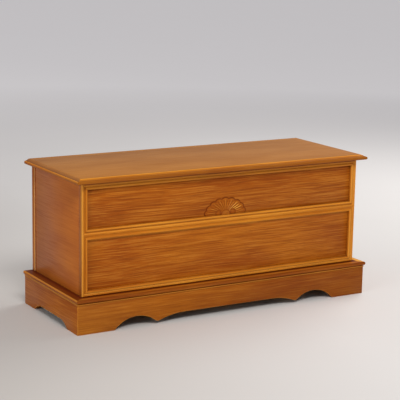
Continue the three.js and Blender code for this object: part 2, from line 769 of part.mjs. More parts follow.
// Screwed under the lid: a flange, a web beside the arm and the headed pivot through it
function stayLidBracket(name, side) {
  const [y, z] = pivotPlace;
  const top = lidGap / 2;
  const webOuter = armInner - slideGap;
  const webInner = webOuter - bracketThickness;
  const headInner = armOuter + slideGap;
  const flangeEnd = webOuter - bracketFlangeWidth;
  const between = (a, b) => (side > 0 ? [a, b] : [-b, -a]);
  const [flange0, flange1] = between(flangeEnd, webOuter);
  const [web0, web1] = between(webInner, webOuter);
  const half = bracketLength / 2;
  const flange = board([flange0, y - half, top - bracketThickness], [flange1, y + half, top]);
  const web = board([web0, y - bracketTipRadius, z], [web1, y + bracketTipRadius, top]);
  const tip = roundBar(bracketTipRadius, web0, web1, y, z);
  const pivot = roundBar(studRadius, side * webInner, side * (headInner + pivotHeadThickness), y, z);
  const head = roundBar(pivotHeadRadius, side * headInner, side * (headInner + pivotHeadThickness), y, z);
  return part(name, joined(flange, web, tip, pivot, head), brass());
}

function stays() {
  const group = new THREE.Group();
  for (const [word, side] of [["left", -1], ["right", 1]]) {
    group.add(stayArm(`stay_arm_${word}`, side));
    group.add(stayCaseBracket(`stay_case_bracket_${word}`, side));
    group.add(stayLidBracket(`stay_lid_bracket_${word}`, side));
  }
  group.position.set(0, hingeAxisDepth, hingeAxisHeight);
  return group;
}

const chest = new THREE.Group();
chest.name = "blanket_chest";
chest.add(plinth());
chest.add(cap());
chest.add(front());
chest.add(sidePanel("side_panel_left", -1));
chest.add(sidePanel("side_panel_right", 1));
chest.add(backFrame());
chest.add(backPanel());
chest.add(floorPanel());
chest.add(lid());
const hingeSpacing = (caseWidth - hingeInset - hingeInset) / (hingeCount - 1);
for (let i = 0; i < hingeCount; i += 1) {
  chest.add(hinge(i + 1, hingeInset - halfCase + i * hingeSpacing));
}
chest.add(stays());
chest.position.y = (frontReach - backReach) / 2;

export default chest;
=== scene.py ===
"""Blanket chest: honey-stained woodwork, brass fittings and a studio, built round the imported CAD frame.

Everything is in metres and in the frame's own place: +X along the chest, +Y to the back, +Z up.
"""

import json
import math
from contextlib import contextmanager
from typing import NamedTuple

import bmesh
import bpy
from bpy.props import FloatProperty, FloatVectorProperty, IntProperty, PointerProperty
from mathutils import Matrix, Vector


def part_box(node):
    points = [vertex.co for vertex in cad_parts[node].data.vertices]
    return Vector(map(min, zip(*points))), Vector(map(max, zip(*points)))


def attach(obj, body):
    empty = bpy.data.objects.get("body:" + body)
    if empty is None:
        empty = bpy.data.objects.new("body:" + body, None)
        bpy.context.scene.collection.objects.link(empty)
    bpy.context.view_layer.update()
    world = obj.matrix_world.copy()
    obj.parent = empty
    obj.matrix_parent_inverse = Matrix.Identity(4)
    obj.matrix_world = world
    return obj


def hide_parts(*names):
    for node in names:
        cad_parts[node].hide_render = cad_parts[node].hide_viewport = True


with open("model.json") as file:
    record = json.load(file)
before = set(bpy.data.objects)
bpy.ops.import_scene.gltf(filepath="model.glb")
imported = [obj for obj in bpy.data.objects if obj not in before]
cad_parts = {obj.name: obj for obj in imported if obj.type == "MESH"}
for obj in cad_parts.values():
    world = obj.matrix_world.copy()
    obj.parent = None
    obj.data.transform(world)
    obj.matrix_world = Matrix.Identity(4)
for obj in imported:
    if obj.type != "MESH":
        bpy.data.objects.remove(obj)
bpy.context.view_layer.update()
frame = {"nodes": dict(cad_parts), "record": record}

bl_info = {
    "name": "Blanket chest",
    "version": (1, 0, 0),
    "blender": (4, 5, 0),
    "location": "View3D > Sidebar > Chest",
    "description": "Dresses the CAD frame of a wooden blanket chest, piece by piece",
    "category": "Object",
}

RIGHT = Vector((1, 0, 0))
LEFT = Vector((-1, 0, 0))
BACKWARD = Vector((0, 1, 0))
FORWARD = Vector((0, -1, 0))
UP = Vector((0, 0, 1))
DOWN = Vector((0, 0, -1))

# The shaped sides of plinth, cap and lid: the way along each, the way in, and whether its start and
# its end are mitred
SHAPED_SIDES = {
    "front": (RIGHT, BACKWARD, (True, True)),
    "left": (FORWARD, RIGHT, (False, True)),
    "right": (BACKWARD, LEFT, (True, False)),
}

BODY_OF = {
    node: body for body, nodes in frame["record"]["behaviour"]["bodies"].items() for node in nodes
}


def linear(hex_colour):
    """Linear colour from an sRGB hex value."""
    shares = [int(hex_colour[i : i + 2], 16) / 255 for i in (1, 3, 5)]
    return tuple(s / 12.92 if s <= 0.04045 else ((s + 0.055) / 1.055) ** 2.4 for s in shares)


def colour(name, hex_colour, about):
    return FloatVectorProperty(
        name=name, description=about, subtype="COLOR", size=3, min=0, max=1, default=linear(hex_colour)
    )


def length(name, millimetres, about):
    return FloatProperty(
        name=name, description=about, unit="LENGTH", subtype="DISTANCE", min=0, default=millimetres / 1000
    )


class ChestFinishSettings(bpy.types.PropertyGroup):
    """Stains, lacquer, grain and fittings of the chest."""

    veneer_light: colour("Veneer, light", "#b5640f", "Early wood of the lower panel's veneer")
    veneer_deep: colour("Veneer, deep", "#a1500a", "Redder patches of that veneer")
    upper_light: colour("Upper panel, light", "#ab5b0e", "The upper panel takes a little more stain")
    upper_deep: colour("Upper panel, deep", "#964709", "Redder patches of the upper panel")
    plinth_light: colour("Plinth veneer, light", "#a75c0f", "Early wood of the plinth's veneer")
    plinth_deep: colour("Plinth veneer, deep", "#8f4609", "Redder patches of the plinth's veneer")
    side_light: colour("Side veneer, light", "#b16218", "Early wood of the side veneer")
    side_deep: colour("Side veneer, deep", "#a15312", "Browner patches of the side veneer")
    solid_light: colour("Solid wood, light", "#d38420", "Mouldings and frame, which take less stain")
    solid_deep: colour("Solid wood, deep", "#bf6c14", "Redder patches of the solid wood")
    lid_light: colour("Lid, light", "#b37638", "Early wood of the lid veneer")
    lid_deep: colour("Lid, deep", "#a86c31", "Browner patches of the lid veneer")
    dark_light: colour("Dark stain, light", "#934816", "Stiles where they meet the side panels")
    dark_deep: colour("Dark stain, deep", "#84400f", "Redder patches of the dark stain")
    streak: colour("Grain streak", "#6b2c06", "Stain gathered in the late wood and pores")
    flare: colour("Grain flare", "#dc9538", "Pale figure between the streaks, where stain took least")
    # Also the colour of painted shade: in corners by ambient occlusion, and wherever a tone is below zero
    quirk: colour("Stain in quirks", "#5a1c03", "Stain and glaze gathered in quirks and inner corners")
    # Also the colour of painted highlights, wherever a tone is above zero
    arris: colour("Rubbed arris", "#eaa640", "Stain rubbed thin on the arrises before lacquering")
    # Painted shade: the colours that make the plinth's inside black
    shade_light: colour("Black stain, light", "#30241c", "Black-stained inside of the plinth")
    shade_deep: colour("Black stain, deep", "#1f1713", "Darker grain of that stain")
    board_light: colour("Plain board, light", "#e2bb8b", "Unstained board inside and at the back")
    board_deep: colour("Plain board, deep", "#d3a473", "Darker grain of the unstained board")
    brass: colour("Brass plate", "#c9a55a", "Brass plating of the hinges and stays")
    brass_tarnish: colour("Brass tarnish", "#9c7a38", "Browner patches of the brass plating")
    steel: colour("Zinc plate", "#b4b6b6", "Zinc plating of the hinge pins and round screws")
    steel_tarnish: colour("Zinc haze", "#8f9293", "Greyer patches of the zinc plating")
    rubber: colour("Rubber", "#33241a", "Moulded rubber of the lid bumpers")
    rubber_bloom: colour("Rubber bloom", "#4a382c", "Paler specks of the rubber")
    streak_spacing: length("Streak spacing", 8, "From one dark streak of grain to the next")
    streak_run: length("Streak length", 240, "How far a streak runs along the grain")
    line_width: length("Fine line width", 3.2, "From one fine line of grain to the next")
    line_run: length("Fine line length", 150, "How far a fine line runs along the grain")
    pore_width: length("Pore width", 1.0, "Width of an open pore, as coarse as a whole view needs")
    pore_run: length("Pore length", 20, "Length of an open pore along the grain")
    patch_width: length("Patch width", 110, "Width of a slow patch of deeper stain")
    patch_run: length("Patch length", 340, "Length of such a patch along the grain")
    drift: length("Grain drift", 16, "How far the grain wanders from a straight line")
    drift_run: length("Drift length", 416.67, "From one bend of the grain to the next")
    tarnish_size: length("Tarnish size", 14.286, "Width of a cloud on plated metal")
    plate_grit: length("Plate grit", 1.1111, "Grit of plated metal, coarse enough to show")
    rubber_grit: length("Rubber grit", 0.66667, "Grit of moulded rubber, coarse enough to show")
    lacquer_roughness: FloatProperty(
        name="Lacquer roughness", description="Satin sheen of the lacquer", min=0, max=1, default=0.4
    )
    board_roughness: FloatProperty(
        name="Board roughness", description="Dull face of wood without lacquer", min=0, max=1, default=0.62
    )


class ChestShapeSettings(bpy.types.PropertyGroup):
    """Small sizes that the CAD frame leaves to the dressing."""

    arris_softening: length("Arris softening", 0.8, "Width of the rubbed arris of a board")
    metal_softening: length("Metal softening", 0.25, "Width of the rounded edge of a metal piece")
    joint_gap: length("Mitre line", 0.15, "Half the open line of a mitred joint")
    front_foot: length("Front foot", 138, "Length of a front bracket foot")
    front_arch: length("Front arch", 174, "Width of the arch beside a front foot")
    front_arch_rise: length("Front arch rise", 40, "Height of that arch")
    cusp_height: length("Cusp height", 9, "Height of the point between arch and centre")
    cusp_rounding: length("Cusp rounding", 11, "How far from its tip that point is rounded")
    centre_rise: length("Centre rise", 31, "Height of the long centre of the front apron")
    shoulder_run: length("Shoulder run", 106, "Length of the curve from the point to the centre")
    side_foot: length("Side foot", 85, "Length of a side bracket foot")
    side_rise: length("Side rise", 24, "Height of the side apron's cut-out")
    side_run: length("Side run", 60, "Length of the curve at each end of that cut-out")
    rebate_height: length("Rebate height", 2.2, "Height of the shadow line under the front frame")
    rebate_depth: length("Rebate depth", 4, "Depth of that shadow line")
    band_width: length("Side band", 11, "Width of the border band at each end of a side panel")
    groove_depth: length("Side groove", 1.4, "Depth of the groove beside that band")
    fan_band: length("Fan outline", 5, "Width of the dark sunk line round the fan")
    fan_edge: length("Fan edge", 2.4, "Thickness of the fan at its scalloped edge")
    fan_crown: length("Fan crown", 2.0, "How much the fan rises towards its hub")
    fan_scallop: length("Fan scallop", 4.5, "Depth of the notch between two lobes")
    fan_flute: length("Fan flute", 0.7, "Depth of the flute between two lobes")
    fan_reed: length("Fan reed", 1.0, "Height of the fine reeds on a lobe")
    fan_hub_width: length("Fan hub width", 20, "Half the width of the small hub")
    fan_hub_height: length("Fan hub height", 20, "Height of the small hub")
    fan_curl: length("Fan curl", 30, "From the middle of the hub to the small curl at each side")
    fan_curl_size: length("Fan curl size", 10, "Radius of that curl")
    fan_lobes: IntProperty(name="Fan lobes", description="Lobes of the carved fan", min=3, default=9)
    screw_head: length("Screw head", 3.4, "Radius of a round screw head")
    screw_rise: length("Screw rise", 1.6, "Height of a round screw head")
    sunk_head: length("Sunk head", 2.9, "Radius of a countersunk screw head")
    seed: IntProperty(name="Seed", description="Turns of the screw slots", default=7)


class ChestStageSettings(bpy.types.PropertyGroup):
    """Camera, lights and floor of the stage."""

    lens: FloatProperty(name="Lens", description="Focal length on a 36 mm sensor", default=120.3)
    camera_place: FloatVectorProperty(
        name="Camera", description="Place of the camera", subtype="XYZ", default=(-2.4257, -4.1094, 1.3603)
    )
    yaw: FloatProperty(name="Yaw", description="Turn to the right", subtype="ANGLE", default=0.534)
    pitch: FloatProperty(name="Pitch", description="Tilt down", subtype="ANGLE", default=0.2046)
    roll: FloatProperty(name="Roll", description="Lean to the left", subtype="ANGLE", default=0.0187)
    key_power: FloatProperty(name="Key light", description="Soft light, high at the front", default=160)
    fill_power: FloatProperty(name="Fill light", description="Broad low light at the left", default=172)
    top_power: FloatProperty(name="Top light", description="Soft light above", default=84)
    room_light: FloatProperty(name="Room light", description="Light from all round", default=0.35)
    # Painted light: the strength of the far floor's glow
    far_floor_glow: FloatProperty(name="Far floor", description="Brightness of the far floor", default=0.42)
    floor_cloud: length("Floor cloud", 769.23, "Width of a faint cloud on the floor")
    floor: colour("Floor", "#dedad6", "Pale studio floor")
    # Painted shade: the floor's colour at the left
    floor_left_shade: colour("Floor, left", "#b9b3ac", "The floor at the left")
    room: colour("Room", "#e4e2e6", "Pale light of the room")


GROUPS = {
    "chest_finish": ChestFinishSettings,
    "chest_shape": ChestShapeSettings,
    "chest_stage": ChestStageSettings,
}


# Materials


class Wood(NamedTuple):
    """A wood as it is finished: its two colours in the settings, and how strongly each mark shows."""

    title: str
    light: str
    deep: str
    figure: float
    pores: float
    sheen: float
    quirks: float = 0.35
    lacquered: bool = True


WOODS = {
    # Level dark and pale streaks under honey stain, strong enough to read from a step away
    "veneer": Wood("Birch veneer, honey stain", "veneer_light", "veneer_deep", 0.46, 0.35, 0.12, 0.15),
    # A redder sheet of it, so the upper panel looks a little deeper than the lower one
    "upper": Wood("Birch upper veneer, honey stain", "upper_light", "upper_deep", 0.5, 0.35, 0.12, 0.15),
    # More stain and a quieter figure: a browner base under the bright frame
    "plinth": Wood("Birch plinth veneer, honey stain", "plinth_light", "plinth_deep", 0.3, 0.3, 0.12),
    # An even sheet with the lacquer's full sheen, so the sides look smooth and calm
    "side": Wood("Birch side veneer, honey stain", "side_light", "side_deep", 0.15, 0.2, 0.3),
    # Solid alder takes less stain, so frame and mouldings look golden against the panels
    "solid": Wood("Alder, honey stain", "solid_light", "solid_deep", 0.3, 0.2, 0.14),
    # Rubbed out to an even tan that mirrors the room softly
    "lid": Wood("Birch lid veneer, honey stain", "lid_light", "lid_deep", 0.12, 0.16, 0.13),
    # Sanded through to the pale wood between coats: a thin gold line along each edge
    "arris": Wood("Alder, rubbed arris", "arris", "solid_light", 0.15, 0.1, 0.14, 0.3),
    # Dark stain where the frame meets the side panels, which sets them apart, and painted shadow where it
    # meets the lid
    "dark": Wood("Alder, dark stain", "dark_light", "dark_deep", 0.3, 0.2, 0.14),
    # Carved alder, stained like the panel behind it, with dark stain and painted shade deep in the cuts
    "carved": Wood("Alder, carved, honey stain", "upper_light", "upper_deep", 0.25, 0.25, 0.1, 0.5),
    # Unstained plywood: pale, dull and plain, as behind every finished face
    "board": Wood("Poplar plywood", "board_light", "board_deep", 0.1, 0.2, 0.3, 0.0, False),
    # Painted shade: black where it is seen only through the arches, so that they look dark and empty
    "shade": Wood("Poplar, black stain", "shade_light", "shade_deep", 0.1, 0.2, 0.2, 0.35, False),
}

# Painted shade and gathered stain darken the colour this near to a corner, between these shares of open
# sky
CORNER_SHADE_REACH, CORNER_SHADE_OPEN, CORNER_SHADE_SHUT = 0.012, 0.75, 0.2
# Streaks and pores lie this deep in the lacquer, and their relief is this strong
GRAIN_DEPTH, GRAIN_STRENGTH = 0.00025, 0.22
# Late wood takes the lacquer this much duller
LATE_WOOD_DULLNESS = 0.1
# Sockets and settings of the node that lays one colour over another
FACTOR, UNDER, OVER, RESULT = 0, 6, 7, 2
OVERLAY = {"data_type": "RGBA", "clamp_factor": True}


def add(tree, kind, inputs=None, **properties):
    """Adds a node, sets its properties, and sets or links its inputs."""
    made = tree.nodes.new(kind)
    for name, value in properties.items():
        setattr(made, name, value)
    for socket, value in (inputs or {}).items():
        if isinstance(value, bpy.types.NodeSocket):
            tree.links.new(value, made.inputs[socket])
        else:
            made.inputs[socket].default_value = value
    return made


def rgba(value):
    return (*value, 1.0)


def new_material(name, **shader_inputs):
    """A material with one principled shader, and its tree, its shader and its object coordinates."""
    material = bpy.data.materials.new(name)
    material.use_nodes = True
    tree = material.node_tree
    tree.nodes.clear()
    named = {label.replace("_", " "): value for label, value in shader_inputs.items()}
    shader = add(tree, "ShaderNodeBsdfPrincipled", named)
    add(tree, "ShaderNodeOutputMaterial", {"Surface": shader.outputs["BSDF"]})
    place = add(tree, "ShaderNodeTexCoord").outputs["Object"]
    return material, tree, shader, place


def wood(kind, grain):
    """A wood with its grain along one axis: slow patches, streaks of late wood and open pores.

    Stained wood is darker in its quirks and inner corners, with gathered stain and painted shade. A
    point's
    tone, where it has one, moves the colour towards gold above zero and towards the quirk colour below
    zero:
    rubbed and gathered stain, and painted light and shade.
    """
    finish = bpy.context.scene.chest_finish
    look = WOODS[kind]
    name = f"{look.title}, grain {grain}"
    known = bpy.data.materials.get(name)
    if known:
        return known
    material, tree, shader, place = new_material(name, Metallic=0.0, Specular_IOR_Level=look.sheen)
    bends = {"Vector": place, "Scale": 1 / finish.drift_run, "Detail": 1.5}
    drift = add(tree, "ShaderNodeTexNoise", bends).outputs["Color"]
    halves = {0: drift, 1: (0.5, 0.5, 0.5)}
    centred = add(tree, "ShaderNodeVectorMath", halves, operation="SUBTRACT").outputs[0]
    sway = add(tree, "ShaderNodeVectorMath", {0: centred, "Scale": finish.drift}, operation="SCALE")
    bent = add(tree, "ShaderNodeVectorMath", {0: place, 1: sway.outputs[0]}, operation="ADD")

    # Noise drawn out along the grain: its size across it, its size along it, and its detail
    noises = {}
    for noise, across, along, detail in (
        ("patch", finish.patch_width, finish.patch_run, 2.0),
        ("streak", finish.streak_spacing, finish.streak_run, 3.0),
        ("line", finish.line_width, finish.line_run, 2.0),
        ("pore", finish.pore_width, finish.pore_run, 1.0),
    ):
        stretch = [1 / across] * 3
        stretch["XYZ".index(grain)] = 1 / along
        laid = add(tree, "ShaderNodeMapping", {"Vector": bent.outputs[0], "Scale": stretch})
        drawn = {"Vector": laid.outputs[0], "Scale": 1.0, "Detail": detail, "Roughness": 0.55}
        noises[noise] = add(tree, "ShaderNodeTexNoise", drawn).outputs[0]

    # Each mark shows from one value of its noise on, and fully at another
    marks = {}
    for mark, noise, start, full in (
        ("patches", "patch", 0.36, 0.64),
        ("flares", "streak", 0.48, 0.34),
        ("pale lines", "line", 0.48, 0.34),
        ("streaks", "streak", 0.5, 0.68),
        ("lines", "line", 0.5, 0.66),
        ("pores", "pore", 0.58, 0.72),
    ):
        limits = {"Value": noises[noise], "From Min": start, "From Max": full}
        marks[mark] = add(tree, "ShaderNodeMapRange", limits).outputs[0]

    # Colours laid one over another, each with the share of its mark that covers what is under it
    layers = [
        (marks["patches"], 1.0, getattr(finish, look.deep)),
        (marks["flares"], look.figure * 0.25, finish.flare),
        (marks["pale lines"], look.figure * 0.6, finish.flare),
        (marks["streaks"], look.figure * 0.3, finish.streak),
        (marks["lines"], look.figure, finish.streak),
        (marks["pores"], look.pores, finish.streak),
    ]
    if look.quirks:
        # Ambient occlusion paints shade into corners, in the colour of gathered stain
        corner = add(tree, "ShaderNodeAmbientOcclusion", {"Distance": CORNER_SHADE_REACH}, samples=8)
        limits = {"Value": corner.outputs["AO"], "From Min": CORNER_SHADE_OPEN, "From Max": CORNER_SHADE_SHUT}
        depth = add(tree, "ShaderNodeMapRange", limits).outputs[0]
        # The tone paints light and shade, as well as rubbed and gathered stain
        tone = add(tree, "ShaderNodeAttribute", attribute_name="tone").outputs["Fac"]
        layers += [
            (depth, look.quirks, finish.quirk),
            (tone, 1.0, finish.arris),
            (tone, -1.0, finish.quirk),
        ]
    base = rgba(getattr(finish, look.light))
    for mark, share, over in layers:
        cover = add(tree, "ShaderNodeMath", {0: mark, 1: share}, operation="MULTIPLY").outputs[0]
        colours = {FACTOR: cover, UNDER: base, OVER: rgba(over)}
        base = add(tree, "ShaderNodeMix", colours, **OVERLAY).outputs[RESULT]
    tree.links.new(base, shader.inputs["Base Color"])

    dull = finish.lacquer_roughness if look.lacquered else finish.board_roughness
    limits = {"Value": marks["lines"], "To Min": dull, "To Max": dull + LATE_WOOD_DULLNESS}
    tree.links.new(add(tree, "ShaderNodeMapRange", limits).outputs[0], shader.inputs["Roughness"])
    cuts = add(tree, "ShaderNodeMath", {0: marks["pores"], 1: marks["streaks"]}, operation="ADD")
    relief = {"Strength": GRAIN_STRENGTH, "Distance": GRAIN_DEPTH, "Height": cuts.outputs[0]}
    bump = add(tree, "ShaderNodeBump", relief, invert=True)
    tree.links.new(bump.outputs[0], shader.inputs["Normal"])
    return material


# Places in the list that finishes gives
FACE, RUBBED, INSIDE, DARK = range(4)


def finishes(kind, grain):
    """Face, rubbed arris, plain inside and dark stain of a piece, as its four materials."""
    return [wood(each, grain) for each in (kind, "arris", "board", "dark")]


# Title, and from the settings two colours and the sizes of clouds and grit. Then the clouds' detail, the
# two values of their noise between which they come up, the roughness between which the grit moves, its
# relief and the share of metal
SURFACES = {
    # Pressed plate: a warm gold sheen, hazed by handling, with clouds of browner tarnish
    "brass": (
        "Brass-plated steel, pressed", "brass", "brass_tarnish", "tarnish_size", "plate_grit",
        4.0, (0.42, 0.7), (0.22, 0.4), 0.1, 1.0,
    ),
    # Barrel-plated pins and screws: a cool, slightly cloudy grey beside the brass
    "zinc": (
        "Zinc-plated steel", "steel", "steel_tarnish", "tarnish_size", "plate_grit",
        4.0, (0.42, 0.7), (0.28, 0.46), 0.1, 1.0,
    ),
    # Moulded rubber: dark and matt, with the paler specks and fine grit of its mould
    "rubber": (
        "Rubber, moulded", "rubber", "rubber_bloom", "rubber_grit", "rubber_grit",
        2.0, (0.0, 1.0), (0.6, 0.85), 0.2, 0.0,
    ),
}
# Detail of the grit's noise, and its height in metres at full relief
GRIT_DETAIL, GRIT_HEIGHT = 2.0, 0.0001


def surface(kind):
    """Plated metal or rubber: one colour clouded by another, with a fine grit in sheen and relief."""
    title, *looks, detail, limits, dulls, relief, metal = SURFACES[kind]
    tint, cloud_tint, cloud_size, grit_size = [
        getattr(bpy.context.scene.chest_finish, look) for look in looks
    ]
    known = bpy.data.materials.get(title)
    if known:
        return known
    material, tree, shader, place = new_material(title, Metallic=metal)
    cloud, grit = [
        add(tree, "ShaderNodeTexNoise", {"Vector": place, "Scale": 1 / size, "Detail": fine}).outputs[0]
        for size, fine in ((cloud_size, detail), (grit_size, GRIT_DETAIL))
    ]
    share, dull = [
        add(tree, "ShaderNodeMapRange", {"Value": noise, f"{end} Min": low, f"{end} Max": high}).outputs[0]
        for noise, end, (low, high) in ((cloud, "From", limits), (grit, "To", dulls))
    ]
    colours = {FACTOR: share, UNDER: rgba(tint), OVER: rgba(cloud_tint)}
    bump = {"Strength": relief, "Distance": GRIT_HEIGHT, "Height": grit}
    for socket, made in (
        ("Base Color", add(tree, "ShaderNodeMix", colours, **OVERLAY).outputs[RESULT]),
        ("Roughness", dull),
        ("Normal", add(tree, "ShaderNodeBump", bump).outputs[0]),
    ):
        tree.links.new(made, shader.inputs[socket])
    return material


# Meshes

# Points nearer to each other than this are one
MERGE = 1e-6
# Faces that look this nearly along a direction count as facing it
FACING = 0.95
# Edges are softened from this angle on, and faces are joined as flat up to the other one, in degrees
ARRIS_ANGLE, FLAT_ANGLE = 38, 0.4


def piece_of(name, mesh, materials):
    piece = bpy.data.objects.new(name, mesh)
    bpy.context.scene.collection.objects.link(piece)
    for material in materials:
        mesh.materials.append(material)
    return piece


def mesh_of(name, build):
    mesh = bpy.data.meshes.new(name)
    build.normal_update()
    build.to_mesh(mesh)
    build.free()
    return mesh


@contextmanager
def opened(piece):
    """Opens a piece's mesh for changes, and puts it back."""
    build = bmesh.new()
    build.from_mesh(piece.data)
    yield build
    build.to_mesh(piece.data)
    build.free()


def settle_modifiers(piece):
    """Turns a piece and its modifiers into a plain mesh."""
    result = bpy.data.meshes.new_from_object(piece.evaluated_get(bpy.context.evaluated_depsgraph_get()))
    piece.modifiers.clear()
    piece.data = result
    return piece


def soften(piece, width):
    """Rounds the arrises of a piece, and gives the rounding the piece's second material."""
    bevel = piece.modifiers.new("Arris", "BEVEL")
    bevel.width = width
    bevel.segments = 2
    bevel.limit_method = "ANGLE"
    bevel.angle_limit = math.radians(ARRIS_ANGLE)
    bevel.material = RUBBED if len(piece.data.materials) > RUBBED else -1
    return settle_modifiers(piece)


def smooth(piece, angle=30):
    """Shades a piece smooth where its faces meet at less than so many degrees."""
    for polygon in piece.data.polygons:
        polygon.use_smooth = True
    piece.data.set_sharp_from_angle(angle=math.radians(angle))
    return piece


def faced(piece, finish, *directions):
    """Gives the faces that look these ways another of the piece's materials."""
    for polygon in piece.data.polygons:
        if any(polygon.normal.dot(direction) > FACING for direction in directions):
            polygon.material_index = finish
    return piece


def add_form(build, rings):
    """Adds a closed form through rings of points, with a flat face at each end."""
    rings = [[build.verts.new(point) for point in ring] for ring in rings]
    build.faces.new(rings[0])
    build.faces.new(reversed(rings[-1]))
    for ring, following in zip(rings, rings[1:]):
        for i in range(len(ring)):
            build.faces.new((ring[i], ring[i - 1], following[i - 1], following[i]))
    bmesh.ops.recalc_face_normals(build, faces=build.faces)


def cut_out(piece, build):
    """Takes closed forms out of a piece."""
    cutter = piece_of("cutter", mesh_of("cutter", build), [])
    cut = piece.modifiers.new("Cut", "BOOLEAN")
    cut.operation = "DIFFERENCE"
    cut.solver = "EXACT"
    cut.object = cutter
    settle_modifiers(piece)
    bpy.data.objects.remove(cutter)
    return piece


def cut_groove(piece, outlines, run):
    """Takes a straight bar for each outline out of a piece."""
    build = bmesh.new()
    for outline in outlines:
        add_form(build, [outline, [point + run for point in outline]])
    return cut_out(piece, build)


def tone_points(piece, rule):
    """Gives each point the tone that a rule finds for its place."""
    tones = piece.data.attributes.new("tone", "FLOAT", "POINT")
    for vertex, tone in zip(piece.data.vertices, tones.data):
        tone.value = rule(vertex.co)
    return piece


def seat(piece, node):
    """The piece stands for its CAD node and moves with the node's body."""
    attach(piece, BODY_OF[node])
    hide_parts(node)
    return piece


def cad_copy(node, materials):
    """A clean copy of a CAD node: its loose triangles joined, and flat faces made whole."""
    build = bmesh.new()
    build.from_mesh(frame["nodes"][node].data)
    bmesh.ops.remove_doubles(build, verts=build.verts, dist=MERGE)
    flat = math.radians(FLAT_ANGLE)
    bmesh.ops.dissolve_limit(build, angle_limit=flat, verts=build.verts, edges=build.edges)
    for face in build.faces:
        face.material_index = FACE
    return piece_of(f"dressed_{node}", mesh_of(node, build), materials)


def dressed(node, materials, softening, *inside):
    """A CAD node with softened arrises, in its finish, plain where it looks inside the chest."""
    piece = smooth(soften(cad_copy(node, materials), softening))
    return seat(faced(piece, INSIDE, *inside), node)


def arc(centre, radii, start, end, steps):
    """Points on an ellipse from one angle to another, both included."""
    angles = [start + (end - start) * i / steps for i in range(steps + 1)]
    return [(centre[0] + radii[0] * math.cos(a), centre[1] + radii[1] * math.sin(a)) for a in angles]


def spot_in(node, *shares):
    """A place in a node's box, as a share of the box along each axis."""
    low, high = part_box(node)
    return Vector([a + (b - a) * share for a, b, share in zip(low, high, shares)])


def corner_of(node, *directions):
    """The corner of a node's box from which these directions lead into it."""
    shares = [1.0 if any(direction[axis] < -0.5 for direction in directions) else 0.0 for axis in range(3)]
    return spot_in(node, *shares)


def extent(node, direction):
    low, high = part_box(node)
    return abs((high - low).dot(direction))


def grain_along(run):
    """The letter of the axis that a run follows."""
    return "XYZ"[max(range(3), key=lambda axis: abs(run[axis]))]


def turned(along, inward, origin):
    """From a run's own axes, along, inward and outward, to its place on the chest."""
    place = Matrix((along, inward, along.cross(inward))).transposed().to_4x4()
    place.translation = origin
    return place


# Mouldings: a section swept along a run, with mitred ends, by Geometry Nodes


def node_group(name, inputs, output):
    """An empty geometry tree with named inputs of these kinds and one named output of geometry."""
    tree = bpy.data.node_groups.new(name, "GeometryNodeTree")
    for label, kind in inputs.items():
        tree.interface.new_socket(label, in_out="INPUT", socket_type=f"NodeSocket{kind}")
    tree.interface.new_socket(output, in_out="OUTPUT", socket_type="NodeSocketGeometry")
    return tree


def moulding_tree():
    name = "Mitred moulding run"
    known = bpy.data.node_groups.get(name)
    if known:
        return known
    labels = {
        "Section": "Geometry",
        "Length": "Float",
        "Start mitre": "Float",
        "End mitre": "Float",
        "Joint gap": "Float",
        "Finish": "Material",
    }
    tree = node_group(name, labels, "Moulding")
    given = add(tree, "NodeGroupInput").outputs
    section = add(tree, "GeometryNodeMeshToCurve", {"Mesh": given["Section"]})
    far = add(tree, "ShaderNodeCombineXYZ", {"X": given["Length"]})
    line = add(tree, "GeometryNodeCurvePrimitiveLine", {"End": far.outputs[0]})
    sweep = {"Curve": line.outputs[0], "Profile Curve": section.outputs[0], "Fill Caps": True}
    swept = add(tree, "GeometryNodeCurveToMesh", sweep)
    place = add(tree, "GeometryNodeInputPosition").outputs[0]
    parts = add(tree, "ShaderNodeSeparateXYZ", {"Vector": place}).outputs
    # Each end steps back by a point's distance inward, which makes the mitre and its open line
    sums = {}
    for result, first, operation, second in (
        ("half", given["Length"], "MULTIPLY", 0.5),
        ("at end", parts["X"], "GREATER_THAN", "half"),
        ("step", parts["Y"], "ADD", given["Joint gap"]),
        ("start", "step", "MULTIPLY", given["Start mitre"]),
        ("end", "step", "MULTIPLY", given["End mitre"]),
        ("back", "end", "MULTIPLY", -1.0),
    ):
        pair = {i: sums[term] if isinstance(term, str) else term for i, term in enumerate((first, second))}
        sums[result] = add(tree, "ShaderNodeMath", pair, operation=operation).outputs[0]
    ends = {0: sums["at end"], 2: sums["start"], 3: sums["back"]}
    shift = add(tree, "ShaderNodeMix", ends, data_type="FLOAT").outputs[0]
    offset = add(tree, "ShaderNodeCombineXYZ", {"X": shift}).outputs[0]
    cut = add(tree, "GeometryNodeSetPosition", {"Geometry": swept.outputs[0], "Offset": offset})
    whole = add(tree, "GeometryNodeRealizeInstances", {0: cut.outputs[0]}).outputs[0]
    finished = add(tree, "GeometryNodeSetMaterial", {"Geometry": whole, "Material": given["Finish"]})
    add(tree, "NodeGroupOutput", {"Moulding": finished.outputs[0]})
    return tree


def run_nodes(piece, tree, **values):
    """Runs a tree on a piece, with values for the inputs that have these labels."""
    modifier = piece.modifiers.new(tree.name, "NODES")
    modifier.node_group = tree
    sockets = {item.name: item.identifier for item in tree.interface.items_tree}
    for label, value in values.items():
        modifier[sockets[label.replace("_", " ")]] = value
    return settle_modifiers(piece)


